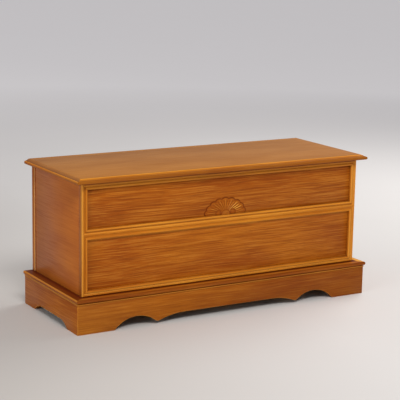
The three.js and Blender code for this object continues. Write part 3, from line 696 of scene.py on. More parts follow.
def moulding(node, section, along, inward, mitres, finish):
    """One run with the given section of (inward, outward, tone) points, where its CAD node lies."""
    outward = along.cross(inward)
    lowest = min(point[1] for point in section)
    gap = bpy.context.scene.chest_shape.joint_gap
    origin = corner_of(node, along, inward, outward) - outward * lowest
    if mitres[0]:
        origin -= along * gap
    mesh = bpy.data.meshes.new(node)
    count = len(section)
    edges = [(i, (i + 1) % count) for i in range(count)]
    # The sweep turns a section half round, so it is drawn the other way up
    mesh.from_pydata([(-across, -rise, 0) for across, rise, _ in section], edges, [])
    tones = mesh.attributes.new("tone", "FLOAT", "POINT")
    tones.data.foreach_set("value", [tone for _, _, tone in section])
    piece = run_nodes(
        piece_of(f"moulded_{node}", mesh, []),
        moulding_tree(),
        Length=extent(node, along) + gap * sum(mitres),
        Start_mitre=float(mitres[0]),
        End_mitre=float(mitres[1]),
        Joint_gap=gap,
        Finish=finish,
    )
    piece.data.transform(turned(along, inward, origin))
    with opened(piece) as build:
        bmesh.ops.remove_doubles(build, verts=build.verts, dist=MERGE)
        bmesh.ops.recalc_face_normals(build, faces=build.faces)
    return seat(smooth(piece, angle=32), node)


def toned(points, *tones):
    """Points with tones that run evenly through the given ones."""
    made = []
    for i, (across, rise) in enumerate(points):
        spot = i / (len(points) - 1) * (len(tones) - 1)
        lower = min(int(spot), len(tones) - 2)
        tone = tones[lower] + (tones[lower + 1] - tones[lower]) * (spot - lower)
        made.append((across, rise, tone))
    return made


# Steps of each curve
QUARTER_STEPS, ROUND_STEPS, OGEE_STEPS = 8, 18, 16
ARCH_STEPS, SHOULDER_STEPS, TIP_STEPS = 28, 16, 8


# Plinth

# Tone of the plinth at the middle of its front, and its change in a metre to the right: painted shade that
# darkens the front towards the right
PLINTH_TONE, PLINTH_SHADE_PER_METRE = -0.08, -0.3


def circle_through(run, rise):
    """Radius of the circle whose arc spans a run from its top to a rise below."""
    return (run**2 + rise**2) / (2 * rise)


def bend(start, corner, end):
    """Points of the curve between two ends that leaves and meets them towards a corner."""
    start, corner, end = Vector(start), Vector(corner), Vector(end)
    shares = [i / TIP_STEPS for i in range(1, TIP_STEPS)]
    return [tuple(start.lerp(corner, share).lerp(corner.lerp(end, share), share)) for share in shares]


def front_apron_outline(shape, width, height):
    """Half an arch, a point and half the long centre, mirrored: (along, up) points."""
    half = width / 2
    reach = shape.front_arch / 2
    radius = circle_through(reach, shape.front_arch_rise)
    base = shape.front_arch_rise - radius
    centre = half - shape.front_foot - reach
    foot = math.asin(-base / radius)
    point = math.pi - math.asin((shape.cusp_height - base) / radius)
    cusp = centre + radius * math.cos(point)
    shoulder = circle_through(shape.shoulder_run, shape.centre_rise - shape.cusp_height)
    spread = math.asin(shape.shoulder_run / shoulder)
    level = math.pi / 2
    arch_end = point - shape.cusp_rounding / radius
    curve_start = level - spread + shape.cusp_rounding / shoulder
    arch = arc((centre, base), (radius, radius), foot, arch_end, ARCH_STEPS)
    middle = (cusp - shape.shoulder_run, shape.centre_rise - shoulder)
    curve = arc(middle, (shoulder, shoulder), curve_start, level, SHOULDER_STEPS)
    tip = bend(arch[-1], (cusp, shape.cusp_height), curve[0])
    right = [(half, height), (half, 0.0), *arch, *tip, *curve]
    both = right + [(-a, b) for a, b in reversed(right)]
    return [(a + half, b) for a, b in both]


def side_apron_outline(shape, width, height):
    """A cut-out with a curve at each end: (along, up) points."""
    radius = circle_through(shape.side_run, shape.side_rise)
    level = math.pi / 2
    spread = math.asin(shape.side_run / radius)
    centre = (shape.side_foot + shape.side_run, shape.side_rise - radius)
    rising = arc(centre, (radius, radius), level + spread, level, SHOULDER_STEPS)
    falling = [(width - a, b) for a, b in reversed(rising)]
    return [(0.0, height), (0.0, 0.0), *rising, *falling, (width, 0.0), (width, height)]


def apron(node, outline, along, inward, mitres):
    """A sawn board whose mitred ends step in on the inner face."""
    shape = bpy.context.scene.chest_shape
    gap = shape.joint_gap
    run = max(distance for distance, _ in outline)
    rings = []
    for depth in (0.0, extent(node, inward)):
        ring = []
        for distance, height in outline:
            if mitres[0] and distance < gap:
                distance += depth + gap
            if mitres[1] and distance > run - gap:
                distance -= depth + gap
            ring.append((distance, depth, height))
        rings.append(ring)
    build = bmesh.new()
    add_form(build, rings)
    origin = corner_of(node, along, inward, along.cross(inward))
    if mitres[0]:
        origin -= along * gap
    bmesh.ops.transform(build, matrix=turned(along, inward, origin), verts=build.verts)
    grain = grain_along(along)
    face, arris, _, _ = finishes("plinth", grain)
    piece = piece_of(f"sawn_{node}", mesh_of(node, build), [face, arris, wood("shade", grain)])
    piece = smooth(soften(piece, shape.arris_softening))
    # The inner face and the underside take the black of painted shade
    return seat(faced(piece, INSIDE, inward, DOWN), node)


class CHEST_OT_plinth(bpy.types.Operator):
    """Make the plinth: three sawn aprons, the back rail and four glue blocks"""

    bl_idname = "chest.plinth"
    bl_label = "Plinth"

    def execute(self, context):
        shape = context.scene.chest_shape
        height = extent("plinth_front", UP)
        for side, (along, inward, mitres) in SHAPED_SIDES.items():
            node = f"plinth_{side}"
            outline_of = front_apron_outline if side == "front" else side_apron_outline
            width = extent(node, along) + shape.joint_gap * sum(mitres)
            piece = apron(node, outline_of(shape, width, height), along, inward, mitres)
            if side == "front":
                # Painted shade, deeper towards the right end of the front
                tone_points(piece, lambda place: PLINTH_TONE + PLINTH_SHADE_PER_METRE * place.x)
        # The back rail and the blocks are black with painted shade, as they are seen only through the
        # arches. Their arrises are left unstained, and so is the rail's back, but not what looks back on a
        # block
        for node, grain in (
            ("plinth_back", "X"),
            ("corner_block_front_left", "Z"),
            ("corner_block_front_right", "Z"),
            ("corner_block_back_left", "Z"),
            ("corner_block_back_right", "Z"),
        ):
            piece = dressed(node, [wood("shade", grain), wood("board", grain)], shape.arris_softening)
            faced(piece, RUBBED if node == "plinth_back" else FACE, BACKWARD)
        return {"FINISHED"}


# Distances in from the outer edge of the cap: where its ledge starts, where a painted contact shadow
# starts to darken it towards the case, where that shadow is fully dark, and the case
CAP_LEDGE, CAP_SHADOW_START, CAP_SHADOW_FULL, CAP_CASE = 0.007, 0.02, 0.028, 0.0335
# Height of the nose, how far it stands out, the cove's depth and the flat band under it
CAP_NOSE, CAP_NOSE_DEPTH, CAP_COVE, CAP_FILLET = 0.012, 0.004, 0.003, 0.003
# The tone of that band, which starts this far under the cove
CAP_FLAT_TONE, CAP_FLAT_STEP = 0.3, 0.0005
# The ledge's tone, and those down the nose and down the cove, are painted light and shade. The ledge lies
# in painted shadow at the left and has a painted glint at the right, the nose is painted dark at the front
# and lighter at the sides, and the coves at the sides are painted light against their shade
CAP_PAINTED_LIGHT = {
    "front": (0.1, (-0.5, -0.5, -0.15), (-0.3, 0.0, 0.0)),
    "left": (-0.7, (0.45, 0.3, -0.1), (0.1, 0.6, 0.6)),
    "right": (0.9, (0.45, 0.3, -0.3), (0.1, 0.6, 0.6)),
}


class CHEST_OT_cap(bpy.types.Operator):
    """Make the cap moulding between plinth and case"""

    bl_idname = "chest.cap"
    bl_label = "Cap moulding"

    def execute(self, context):
        thick = extent("cap_front", UP)
        width = extent("cap_front", BACKWARD)
        depth, base = CAP_NOSE_DEPTH, thick - CAP_NOSE
        middle, half_nose = (depth, thick - CAP_NOSE / 2), (depth, CAP_NOSE / 2)
        over = arc(middle, half_nose, math.pi / 2, math.pi, QUARTER_STEPS)
        under = arc(middle, half_nose, math.pi, math.pi * 1.5, QUARTER_STEPS)[1:]
        cove = arc((depth, base), (CAP_COVE, base - CAP_FILLET), 0, -math.pi / 2, QUARTER_STEPS)
        for side, (along, inward, mitres) in SHAPED_SIDES.items():
            ledge, nose_tones, cove_tones = CAP_PAINTED_LIGHT[side]
            below = nose_tones[-1]
            section = [
                # The cap's top beside the case is black with a painted contact shadow
                (width, thick, -1.0),
                (CAP_CASE, thick, -1.0),
                (CAP_SHADOW_FULL, thick, -1.0),
                (CAP_SHADOW_START, thick, ledge),
                (CAP_LEDGE, thick, ledge),
                *toned(over, *nose_tones),
                *toned(under, below, below, below / 2),
                *toned(cove, *cove_tones),
                (depth, CAP_FILLET - CAP_FLAT_STEP, CAP_FLAT_TONE),
                (depth, 0.0, CAP_FLAT_TONE),
                (width, 0.0, 0.0),
            ]
            finish = wood("plinth", grain_along(along))
            moulding(f"cap_{side}", section, along, inward, mitres, finish)
        dressed("cap_back", [wood("board", "X")], context.scene.chest_shape.arris_softening)
        return {"FINISHED"}


# Case

# A cutter reaches this far past the piece that it cuts
OVERCUT = Vector((0.002, 0.002, 0.002))
# The stain is rubbed this thin within so many metres of a stile's outer corner, and the pale line is also
# a painted highlight on that corner
STILE_TONE, STILE_REACH = 0.5, 0.002


class CHEST_OT_front_frame(bpy.types.Operator):
    """Make the stiles and rails of the front"""

    bl_idname = "chest.front_frame"
    bl_label = "Front frame"

    def execute(self, context):
        shape = context.scene.chest_shape
        for node, grain, rebated, outer in (
            ("front_stile_left", "Z", True, LEFT),
            ("front_stile_right", "Z", True, RIGHT),
            ("front_top_rail", "X", False, None),
            ("front_mid_rail", "X", False, None),
            ("front_bottom_rail", "X", True, None),
        ):
            piece = soften(cad_copy(node, finishes("solid", grain)), shape.arris_softening)
            if rebated:
                # A rebate leaves a shadow line between the frame and the cap
                start = corner_of(node) - OVERCUT
                back = BACKWARD * (shape.rebate_depth + OVERCUT.y)
                rise = UP * (shape.rebate_height + OVERCUT.z)
                outline = [start, start + back, start + back + rise, start + rise]
                cut_groove(piece, [outline], RIGHT * (extent(node, RIGHT) + 2 * OVERCUT.x))
            smooth(piece)
            if node == "front_top_rail":
                # The lid's overhang hides all of it but a strip, which is painted dark with the lid's
                # shadow
                faced(piece, DARK, FORWARD)
            faced(faced(piece, INSIDE, BACKWARD), DARK, LEFT, RIGHT)
            if outer:
                corner = corner_of(node, -outer, BACKWARD, UP)
                tone_points(
                    piece,
                    lambda place: STILE_TONE if (place - corner).xy.length < STILE_REACH else 0.0,
                )
            seat(piece, node)
        return {"FINISHED"}


# Painted light: the lower panel is paler along the bead at its top, over this height, where the bead's
# shadow falls
STRIP, STRIP_PAINTED_LIGHT = 0.007, 0.55


class CHEST_OT_front_panels(bpy.types.Operator):
    """Make the two veneered front panels"""

    bl_idname = "chest.front_panels"
    bl_label = "Front panels"

    def execute(self, context):
        shape = context.scene.chest_shape
        dressed("front_panel_upper", finishes("upper", "X"), shape.arris_softening / 2, BACKWARD)
        node = "front_panel_lower"
        piece = dressed(node, finishes("veneer", "X"), shape.arris_softening / 2, BACKWARD)
        edge = corner_of("lower_bead_top").z
        with opened(piece) as build:
            for height in (edge, edge - STRIP):
                parts = [*build.verts, *build.edges, *build.faces]
                bmesh.ops.bisect_plane(build, geom=parts, plane_co=(0, 0, height), plane_no=UP)
        # Painted light lifts the bead's shadow on the top strip of the panel
        tone_points(piece, lambda place: STRIP_PAINTED_LIGHT * min(max((place.z - edge) / STRIP + 1, 0.0), 1.0))
        return {"FINISHED"}


# A bead moulding: how far it reaches in behind the frame's face, the step down from that face, and the
# cove's width and depth
BEAD_SEAT, BEAD_LIP, COVE_WIDTH, COVE_DEPTH = 0.006, 0.0006, 0.0056, 0.0024
# Tones of each bead moulding, over its cove and then over its round to the panel, are painted light and
# shade. Painted shade darkens a line beside the round and the edge by the panel, and the beads in the
# lid's shadow and at the right are painted paler
BEAD_PAINTED_LIGHT = {
    "upper_bead_top": ((-0.6, 0.0, 0.5, 0.6), (0.6, 0.6, 0.2, 0.1, 0.3)),
    "upper_bead_bottom": ((0.7, 0.3, -0.2, -0.3), (-0.3, 0.0, 0.3, 0.1, -0.8)),
    "lower_bead_top": ((0.2, 0.0, -0.1, 0.0), (0.0, -0.1, 0.1, -0.1, 0.8)),
    "lower_bead_bottom": ((-0.5, -0.2, 0.6, 1.0), (1.0, 0.8, 0.1, -0.2, -0.6)),
    "left": ((0.3, 0.1, 0.0, -0.3), (-0.35, -0.2, 0.0, -0.4, -0.8)),
    "right": ((0.6, 0.4, 0.3, 0.0), (0.0, 0.3, 0.5, 0.3, -0.3)),
}


class CHEST_OT_beads(bpy.types.Operator):
    """Make the cove and bead mouldings round the two front panels"""

    bl_idname = "chest.beads"
    bl_label = "Bead mouldings"

    def execute(self, context):
        width = extent("upper_bead_bottom", UP)
        valley = -BEAD_LIP - COVE_DEPTH
        radius = (width - COVE_WIDTH) / 2
        proud = extent("upper_bead_bottom", BACKWARD) - BEAD_SEAT
        cove_radii = (COVE_WIDTH, COVE_DEPTH)
        cove = arc((COVE_WIDTH, -BEAD_LIP), cove_radii, math.pi, math.pi * 1.5, QUARTER_STEPS)
        bead = arc((width - radius, valley), (radius, proud - valley), math.pi, 0, ROUND_STEPS)
        for opening in ("upper", "lower"):
            for side, along, inward in (
                ("bottom", RIGHT, UP),
                ("top", LEFT, DOWN),
                ("left", DOWN, RIGHT),
                ("right", UP, LEFT),
            ):
                node = f"{opening}_bead_{side}"
                cove_tones, bead_tones = BEAD_PAINTED_LIGHT.get(node) or BEAD_PAINTED_LIGHT[side]
                section = [
                    (0.0, -BEAD_SEAT, 0.0),
                    *toned(cove, *cove_tones),
                    *toned(bead[1:], *bead_tones),
                    (width, -BEAD_SEAT, bead_tones[-1]),
                ]
                moulding(node, section, along, inward, (True, True), wood("solid", grain_along(along)))
        return {"FINISHED"}


# Points round each lobe of the fan, and rows of them from its hub to its edge and over its hub
FAN_STEPS_PER_LOBE, FAN_FIELD_ROWS, FAN_HUB_ROWS = 24, 36, 8
# Reeds on a lobe, as coarse as a whole view needs, and the share of the field that they run to
FAN_REEDS, FAN_REED_END = 4, 0.9
# The dark line round the fan, painted shade in its sunk line: shares of its width, from the panel in, with
# their tones
FAN_BAND_TONES = ((0.0, -0.2), (0.5, -0.75), (0.8, -0.65))
# Tones of the field's edge, the hub and the hub's edge; the edges are darkened with painted shade
FAN_EDGE_TONE, FAN_HUB_TONE, FAN_HUB_EDGE_TONE = -0.35, 0.1, -0.5
# Thickness of the wood in the dark line, the hub's step above the field, and the height and number of
# the rings turned on the hub
FAN_THIN, FAN_HUB_STEP, FAN_RING_HEIGHT, FAN_RINGS = 0.0002, 0.0009, 0.0007, 3
# A curl beside the hub: height of its middle and thickness of its rim as shares of its radius, and
# how much higher than a reed it is
CURL_MIDDLE, CURL_RIM, CURL_RISE = 0.7, 0.3, 1.2
# Tones of a reed away from the glints, of the field, of the notch between two lobes and of a curl's rim.
# Reed crests are painted lighter and their hollows darker, and notch and rim darker with painted shade
REED_TONE, FIELD_TONE, NOTCH_TONE, RIM_TONE = 0.3, -0.04, -0.15, -0.4
# Painted glints make the reeds palest on the right, about one direction and within one spread
FAN_GLINT_AT, FAN_GLINT_SPREAD = math.radians(38), math.radians(16)


class CHEST_OT_carved_fan(bpy.types.Operator):
    """Make the carved fan: scalloped lobes with fine reeds round a small hub"""

    bl_idname = "chest.carved_fan"
    bl_label = "Carved fan"

    def execute(self, context):
        shape = context.scene.chest_shape
        node = "carved_fan"
        centre = spot_in(node, 0.5, 1.0, 0.0)
        half, height = extent(node, RIGHT) / 2, extent(node, UP)
        hub_top = shape.fan_edge + shape.fan_crown + FAN_HUB_STEP

        def lobe(angle):
            """From 0 between two lobes to 1 on the middle of one."""
            return abs(math.sin(shape.fan_lobes * angle))

        def edge(angle, inset):
            dip = shape.fan_scallop * (1 - lobe(angle)) + inset
            return Vector(((half - dip) * math.cos(angle), (height - dip) * math.sin(angle)))

        def hub(angle):
            return Vector((shape.fan_hub_width * math.cos(angle), shape.fan_hub_height * math.sin(angle)))

        def curl(spot):
            """From 0 outside the small curls beside the hub to 1 in their middles, and their rims."""
            middle = Vector((shape.fan_curl, shape.fan_curl_size * CURL_MIDDLE))
            share = (Vector((abs(spot.x), spot.y)) - middle).length / shape.fan_curl_size
            return max(0.0, 1 - share**2), math.exp(-(((share - 1) / CURL_RIM) ** 2))

        def relief(angle, share, spot):
            """Height and tone of the field from hub, at 0, to edge, at 1."""
            between_lobes = 1 - lobe(angle)
            bulge, rim = curl(spot)
            reed = math.cos(FAN_REEDS * shape.fan_lobes * angle)
            strength = 0.0
            if share < FAN_REED_END:
                strength = math.sin(math.pi * (share + 1 - FAN_REED_END)) ** 0.5 * (1 - bulge) * (1 - rim)
            rise = shape.fan_edge + shape.fan_crown * (1 - share**2)
            rise -= shape.fan_flute * between_lobes**1.5
            rise += shape.fan_reed * (reed * strength + bulge * CURL_RISE)
            pale = math.exp(-(((angle - FAN_GLINT_AT) / FAN_GLINT_SPREAD) ** 2))
            tone = ((REED_TONE + (1 - REED_TONE) * pale) * reed + REED_TONE * pale) * strength
            tone += FIELD_TONE + NOTCH_TONE * between_lobes**3 + RIM_TONE * rim
            return rise, tone

        def ring(angle):
            """Points from the panel to the middle of the hub: along, up, outward, tone."""
            points = [(*edge(angle, 0), 0.0, FAN_BAND_TONES[0][1])]
            for share, tone in FAN_BAND_TONES:
                points.append((*edge(angle, shape.fan_band * share), FAN_THIN, tone))
            for i in range(FAN_FIELD_ROWS + 1):
                share = 1 - i / FAN_FIELD_ROWS
                spot = hub(angle).lerp(edge(angle, shape.fan_band), share)
                rise, tone = relief(angle, share, spot)
                points.append((*spot, rise, tone if i else FAN_EDGE_TONE))
            for i in range(1, FAN_HUB_ROWS):
                share = 1 - i / FAN_HUB_ROWS
                ridge = FAN_RING_HEIGHT * math.sin(math.pi * FAN_RINGS * share)
                tone = FAN_HUB_EDGE_TONE if i == 1 else FAN_HUB_TONE
                points.append((*(hub(angle) * share), hub_top + ridge, tone))
            return points

        build = bmesh.new()
        tones = build.verts.layers.float.new("tone")

        def vertex(along, up, outward, tone):
            made = build.verts.new(centre + RIGHT * along + FORWARD * outward + UP * up)
            made[tones] = tone
            return made

        steps = shape.fan_lobes * FAN_STEPS_PER_LOBE
        rings = [[vertex(*point) for point in ring(math.pi * i / steps)] for i in range(steps + 1)]
        middle = vertex(0.0, 0.0, hub_top, FAN_HUB_TONE)
        for this, following in zip(rings, rings[1:]):
            for k in range(len(this) - 1):
                build.faces.new((this[k], this[k + 1], following[k + 1], following[k]))
            build.faces.new((this[-1], middle, following[-1]))
        build.faces.new([row[0] for row in rings])
        build.faces.new([*rings[0], middle, *reversed(rings[-1])])
        bmesh.ops.recalc_face_normals(build, faces=build.faces)
        piece = piece_of("carved_fan_relief", mesh_of(node, build), [wood("carved", "X")])
        seat(smooth(piece, angle=50), node)
        return {"FINISHED"}


# Faces that look this nearly outward are on a side's outer face or on the slope of its groove
GROOVE_FACING = 0.6


class CHEST_OT_sides(bpy.types.Operator):
    """Make the side panels and the rear posts"""

    bl_idname = "chest.sides"
    bl_label = "Sides and rear posts"

    def execute(self, context):
        shape = context.scene.chest_shape
        band, deep = shape.band_width, shape.groove_depth
        for node, outward, inward in (
            ("side_panel_left", LEFT, RIGHT),
            ("side_panel_right", RIGHT, LEFT),
        ):
            piece = soften(cad_copy(node, finishes("side", "Y")), shape.arris_softening)
            front_line = corner_of(node, inward) + BACKWARD * band - UP * deep
            rear_line = corner_of(node, inward, FORWARD) + FORWARD * band - UP * deep
            corners = [RIGHT * deep, BACKWARD * deep, LEFT * deep, FORWARD * deep]
            outlines = [[line + corner for corner in corners] for line in (front_line, rear_line)]
            cut_groove(piece, outlines, UP * (extent(node, UP) + 2 * deep))
            smooth(faced(piece, INSIDE, inward))
            # The band beside the rear post is stained dark, with the groove in front of it
            for polygon in piece.data.polygons:
                if polygon.normal.dot(outward) > GROOVE_FACING and polygon.center.y > rear_line.y - deep:
                    polygon.material_index = DARK
            seat(piece, node)
        for node in ("rear_post_left", "rear_post_right"):
            dressed(node, finishes("plinth", "Z"), shape.arris_softening, FORWARD)
        return {"FINISHED"}


class CHEST_OT_back(bpy.types.Operator):
    """Make the back rails, the thin back panel and the floor of the chest"""

    bl_idname = "chest.back"
    bl_label = "Back and floor"

    def execute(self, context):
        softening = context.scene.chest_shape.arris_softening / 2
        for node in ("back_top_rail", "back_bottom_rail", "back_panel", "floor_panel"):
            dressed(node, [wood("board", "X")], softening)
        return {"FINISHED"}


# Lid

# The lid's edge: height and radius of its nose, the flat at each end of the ogee above it, and the
# steps up to the ogee and from it
LID_NOSE, LID_ROUND, LID_QUIRK, LID_LOW_STEP, LID_HIGH_STEP = 0.011, 0.004, 0.001, 0.0008, 0.0006
# Faces of the lid's edge this near to its top lie flat on it, and faces look up from this share on
LID_FLAT, LID_UPWARD = 0.0001, 0.1
# Widths of the rounded edges of the lid's panel and of a bumper
PANEL_SOFTENING, BUMPER_SOFTENING = 0.0001, 0.0006
# Tones of the lid's edge, painted light and shade: up the underside of the nose, then for each side over
# the nose, in the quirk and up the ogee. The underside and the front of the nose are in painted shade, and
# so are the quirk and the ogee at the sides; a painted highlight lies on the ogee's top arris at the front
# and on the top of the nose at the sides
LID_UNDER_SHADE = (-0.7, -0.65, -0.5)
LID_SIDE_PAINTED_LIGHT = ((-0.4, -0.1, 0.6), -0.7, (-0.7, -0.35, -0.25, 0.0))
LID_PAINTED_LIGHT = {
    "front": (
        (-0.6, -0.55, -0.5), -0.55, (-0.5, -0.45, -0.4, -0.35, -0.3, -0.2, 0.2, 0.9, -0.4)
    ),
    "left": LID_SIDE_PAINTED_LIGHT,
    "right": LID_SIDE_PAINTED_LIGHT,
}


class CHEST_OT_lid(bpy.types.Operator):
    """Make the lid: veneered panel, three moulded edges, a plain back edge and two bumpers"""

    bl_idname = "chest.lid"
    bl_label = "Lid"

    def execute(self, context):
        shape = context.scene.chest_shape
        thick = extent("lid_edge_front", UP)
        width = extent("lid_edge_front", BACKWARD)
        radii = (LID_ROUND, LID_ROUND)
        under = arc(radii, radii, math.pi * 1.5, math.pi, QUARTER_STEPS)
        over = arc((LID_ROUND, LID_NOSE - LID_ROUND), radii, math.pi, math.pi / 2, QUARTER_STEPS)
        start, end = LID_ROUND + LID_QUIRK, width - LID_QUIRK
        lowest, highest = LID_NOSE + LID_LOW_STEP, thick - LID_HIGH_STEP
        ogee = []
        for i in range(OGEE_STEPS + 1):
            share = i / OGEE_STEPS
            rise = (1 - math.cos(math.pi * share)) / 2
            ogee.append((start + (end - start) * share, lowest + (highest - lowest) * rise))
        for side, (along, inward, mitres) in SHAPED_SIDES.items():
            node = f"lid_edge_{side}"
            nose_tones, quirk_tone, ogee_tones = LID_PAINTED_LIGHT[side]
            section = [
                (width, 0.0, 0.0),
                *toned(under, *LID_UNDER_SHADE),
                *toned(over, *nose_tones),
                (start, LID_NOSE, quirk_tone),
                *toned(ogee, *ogee_tones),
                (end, thick, ogee_tones[-1]),
                (width, thick, ogee_tones[-1]),
            ]
            piece = moulding(node, section, along, inward, mitres, wood("solid", grain_along(along)))
            # What lies flat on top is stained like the lid's panel, and at the sides the ogee too
            piece.data.materials.append(wood("lid", "X"))
            above = corner_of(node).z + (thick - LID_FLAT if side == "front" else LID_NOSE)
            for polygon in piece.data.polygons:
                if polygon.center.z > above and polygon.normal.z > LID_UPWARD:
                    polygon.material_index = 1
        dressed("lid_panel", finishes("lid", "X"), PANEL_SOFTENING)
        dressed("lid_edge_back", finishes("lid", "X"), shape.arris_softening)
        for node in ("lid_bumper_left", "lid_bumper_right"):
            dressed(node, [surface("rubber")], BUMPER_SOFTENING)
        return {"FINISHED"}


# Fittings

# The leaves of a hinge, and the way that their screws face
LEAVES = (("case", UP), ("lid", DOWN))
# Widths of the rounded edges of a leaf and of a pin
LEAF_SOFTENING, PIN_SOFTENING = 0.00008, 0.0003
# Shares of a leaf's length at which its screws are, how far they are from its front edge, and how far
# their heads lie under its face
LEAF_SCREWS, SCREW_LINE, HEAD_SINK = (0.15, 0.5, 0.85), 0.008, 0.00012
# A countersink's cone: its height, its widest and narrowest radius as shares of the head's, how far its
# middle lies under the leaf's face, and its sides
CONE_HEIGHT, CONE_WIDE, CONE_NARROW, CONE_SINK, CONE_SIDES = 0.003, 1.1, 0.35, 0.0015, 24


def leaf_holes(number, leaf):
    """Places of the three screws of a hinge leaf, at the height of the hinge's pin."""
    node = f"hinge_{number}_{leaf}_leaf"
    height = spot_in(f"hinge_{number}_pin", 0.5, 0.5, 0.5).z
    line = corner_of(node).y + SCREW_LINE
    return [Vector((spot_in(node, share, 0.0, 0.0).x, line, height)) for share in LEAF_SCREWS]


class CHEST_OT_hinges(bpy.types.Operator):
    """Make the three butt hinges, with countersunk leaves"""

    bl_idname = "chest.hinges"
    bl_label = "Hinges"

    def execute(self, context):
        shape = context.scene.chest_shape
        wide, narrow = shape.sunk_head * CONE_WIDE, shape.sunk_head * CONE_NARROW
        for number in (1, 2, 3):
            for leaf, facing in LEAVES:
                node = f"hinge_{number}_{leaf}_leaf"
                piece = smooth(soften(cad_copy(node, [surface("brass")]), LEAF_SOFTENING))
                cutters = bmesh.new()
                spin = Matrix.Rotation(math.pi if leaf == "case" else 0.0, 4, "X")
                for place in leaf_holes(number, leaf):
                    bmesh.ops.create_cone(
                        cutters,
                        cap_ends=True,
                        segments=CONE_SIDES,
                        radius1=wide,
                        radius2=narrow,
                        depth=CONE_HEIGHT,
                        matrix=Matrix.Translation(place - facing * CONE_SINK) @ spin,
                    )
                seat(cut_out(piece, cutters), node)
            dressed(f"hinge_{number}_pin", [surface("zinc")], PIN_SOFTENING)
        return {"FINISHED"}


class CHEST_OT_stays(bpy.types.Operator):
    """Make the two slotted lid stays"""

    bl_idname = "chest.stays"
    bl_label = "Lid stays"

    def execute(self, context):
        for side in ("left", "right"):
            for part in ("arm", "case_bracket", "lid_bracket"):
                softening = context.scene.chest_shape.metal_softening
                dressed(f"stay_{part}_{side}", [surface("brass")], softening)
        return {"FINISHED"}


# Screws, by Geometry Nodes: one head set at each place, facing out of its surface

SCREW_SIDES = 20
# A round head's profile: degrees up its dome, and the share of its rise that is its upright side
DOME_ANGLES, DOME_SIDE = (0, 25, 50, 70), 0.25
# The cross recess: its reach, its arms and its bottom as shares of what is above them, and its depth
CROSS_REACH, CROSS_ARM, CROSS_TAPER, SUNK_CROSS_DEPTH = 1.1, 0.2, 0.7, 0.0006
# Depth of a round head's recess as a share of its rise
ROUND_CROSS_DEPTH = 0.7
# A countersunk head's profile: share of its radius, and height
SUNK_PROFILE = ((0.4, -0.0009), (1.0, -0.0001), (0.98, 0.0))
# Shares of a bracket's and a block's length at which their screws are
CASE_SCREWS, LID_SCREWS, BLOCK_SCREWS = (0.13, 0.87), (0.22, 0.78), (0.25, 0.75)
# How far the screws of a corner block are from its edge, the thickness of a stay's foot on the case
# and on the lid, and the distance in to the screws of the latter
BLOCK_SCREW_INSET, CASE_FOOT, LID_FOOT, LID_FOOT_INSET = 0.022, 0.002, 0.0015, 0.009


def screw_master(name, profile, slot_depth):
    """A turned head with a cross recess, its axis along Z, from (radius, height) points."""
    turns = [math.tau * i / SCREW_SIDES for i in range(SCREW_SIDES)]
    build = bmesh.new()
    add_form(build, [[(r * math.cos(a), r * math.sin(a), height) for a in turns] for r, height in profile])
    head = piece_of(name, mesh_of(name, build), [surface("zinc")])
    widest, top = profile[-1]
    reach = widest * CROSS_REACH
    arm = reach * CROSS_ARM
    outline = []
    for quarter in range(4):
        turn = Matrix.Rotation(quarter * math.pi / 2, 3, "Z")
        outline += [turn @ Vector((*spot, 0.0)) for spot in ((arm, -arm), (reach, -arm), (reach, arm))]
    build = bmesh.new()
    low = [spot * CROSS_TAPER + UP * (top - slot_depth) for spot in outline]
    add_form(build, [low, [spot + UP * (top + 0.001) for spot in outline]])
    return cut_out(head, build)


def screw_tree():
    name = "Screws at places"
    known = bpy.data.node_groups.get(name)
    if known:
        return known
    labels = {"Places": "Geometry", "Head": "Object", "Seed": "Int", "Finish": "Material"}
    tree = node_group(name, labels, "Screws")
    given = add(tree, "NodeGroupInput").outputs
    head = add(tree, "GeometryNodeObjectInfo", {"Object": given["Head"], "As Instance": True})
    facing = add(tree, "GeometryNodeInputNamedAttribute", {"Name": "facing"}, data_type="FLOAT_VECTOR")
    normal = {"Vector": facing.outputs["Attribute"]}
    upright = add(tree, "FunctionNodeAlignRotationToVector", normal, axis="Z")
    turns = {"Min": (0.0, 0.0, 0.0), "Max": (0.0, 0.0, math.tau), "Seed": given["Seed"]}
    turn = add(tree, "FunctionNodeRandomValue", turns, data_type="FLOAT_VECTOR")
    both = {"Rotation": upright.outputs[0], "Rotate By": turn.outputs[0]}
    spun = add(tree, "FunctionNodeRotateRotation", both, rotation_space="LOCAL").outputs[0]
    heads = {"Points": given["Places"], "Instance": head.outputs["Geometry"], "Rotation": spun}
    placed = add(tree, "GeometryNodeInstanceOnPoints", heads)
    whole = add(tree, "GeometryNodeRealizeInstances", {0: placed.outputs[0]}).outputs[0]
    finished = add(tree, "GeometryNodeSetMaterial", {"Geometry": whole, "Material": given["Finish"]})
    add(tree, "NodeGroupOutput", {"Screws": finished.outputs[0]})
    return tree


def screws(name, body, places, head, finish):
    """One mesh of screws for one body, from (place, facing) pairs."""
    mesh = bpy.data.meshes.new(name)
    mesh.from_pydata([place for place, _ in places], [], [])
    facing = mesh.attributes.new("facing", "FLOAT_VECTOR", "POINT")
    for row, (_, direction) in zip(facing.data, places):
        row.vector = direction
    seed = bpy.context.scene.chest_shape.seed
    piece = run_nodes(piece_of(name, mesh, []), screw_tree(), Head=head, Seed=seed, Finish=surface(finish))
    smooth(piece, angle=40)
    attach(piece, body)


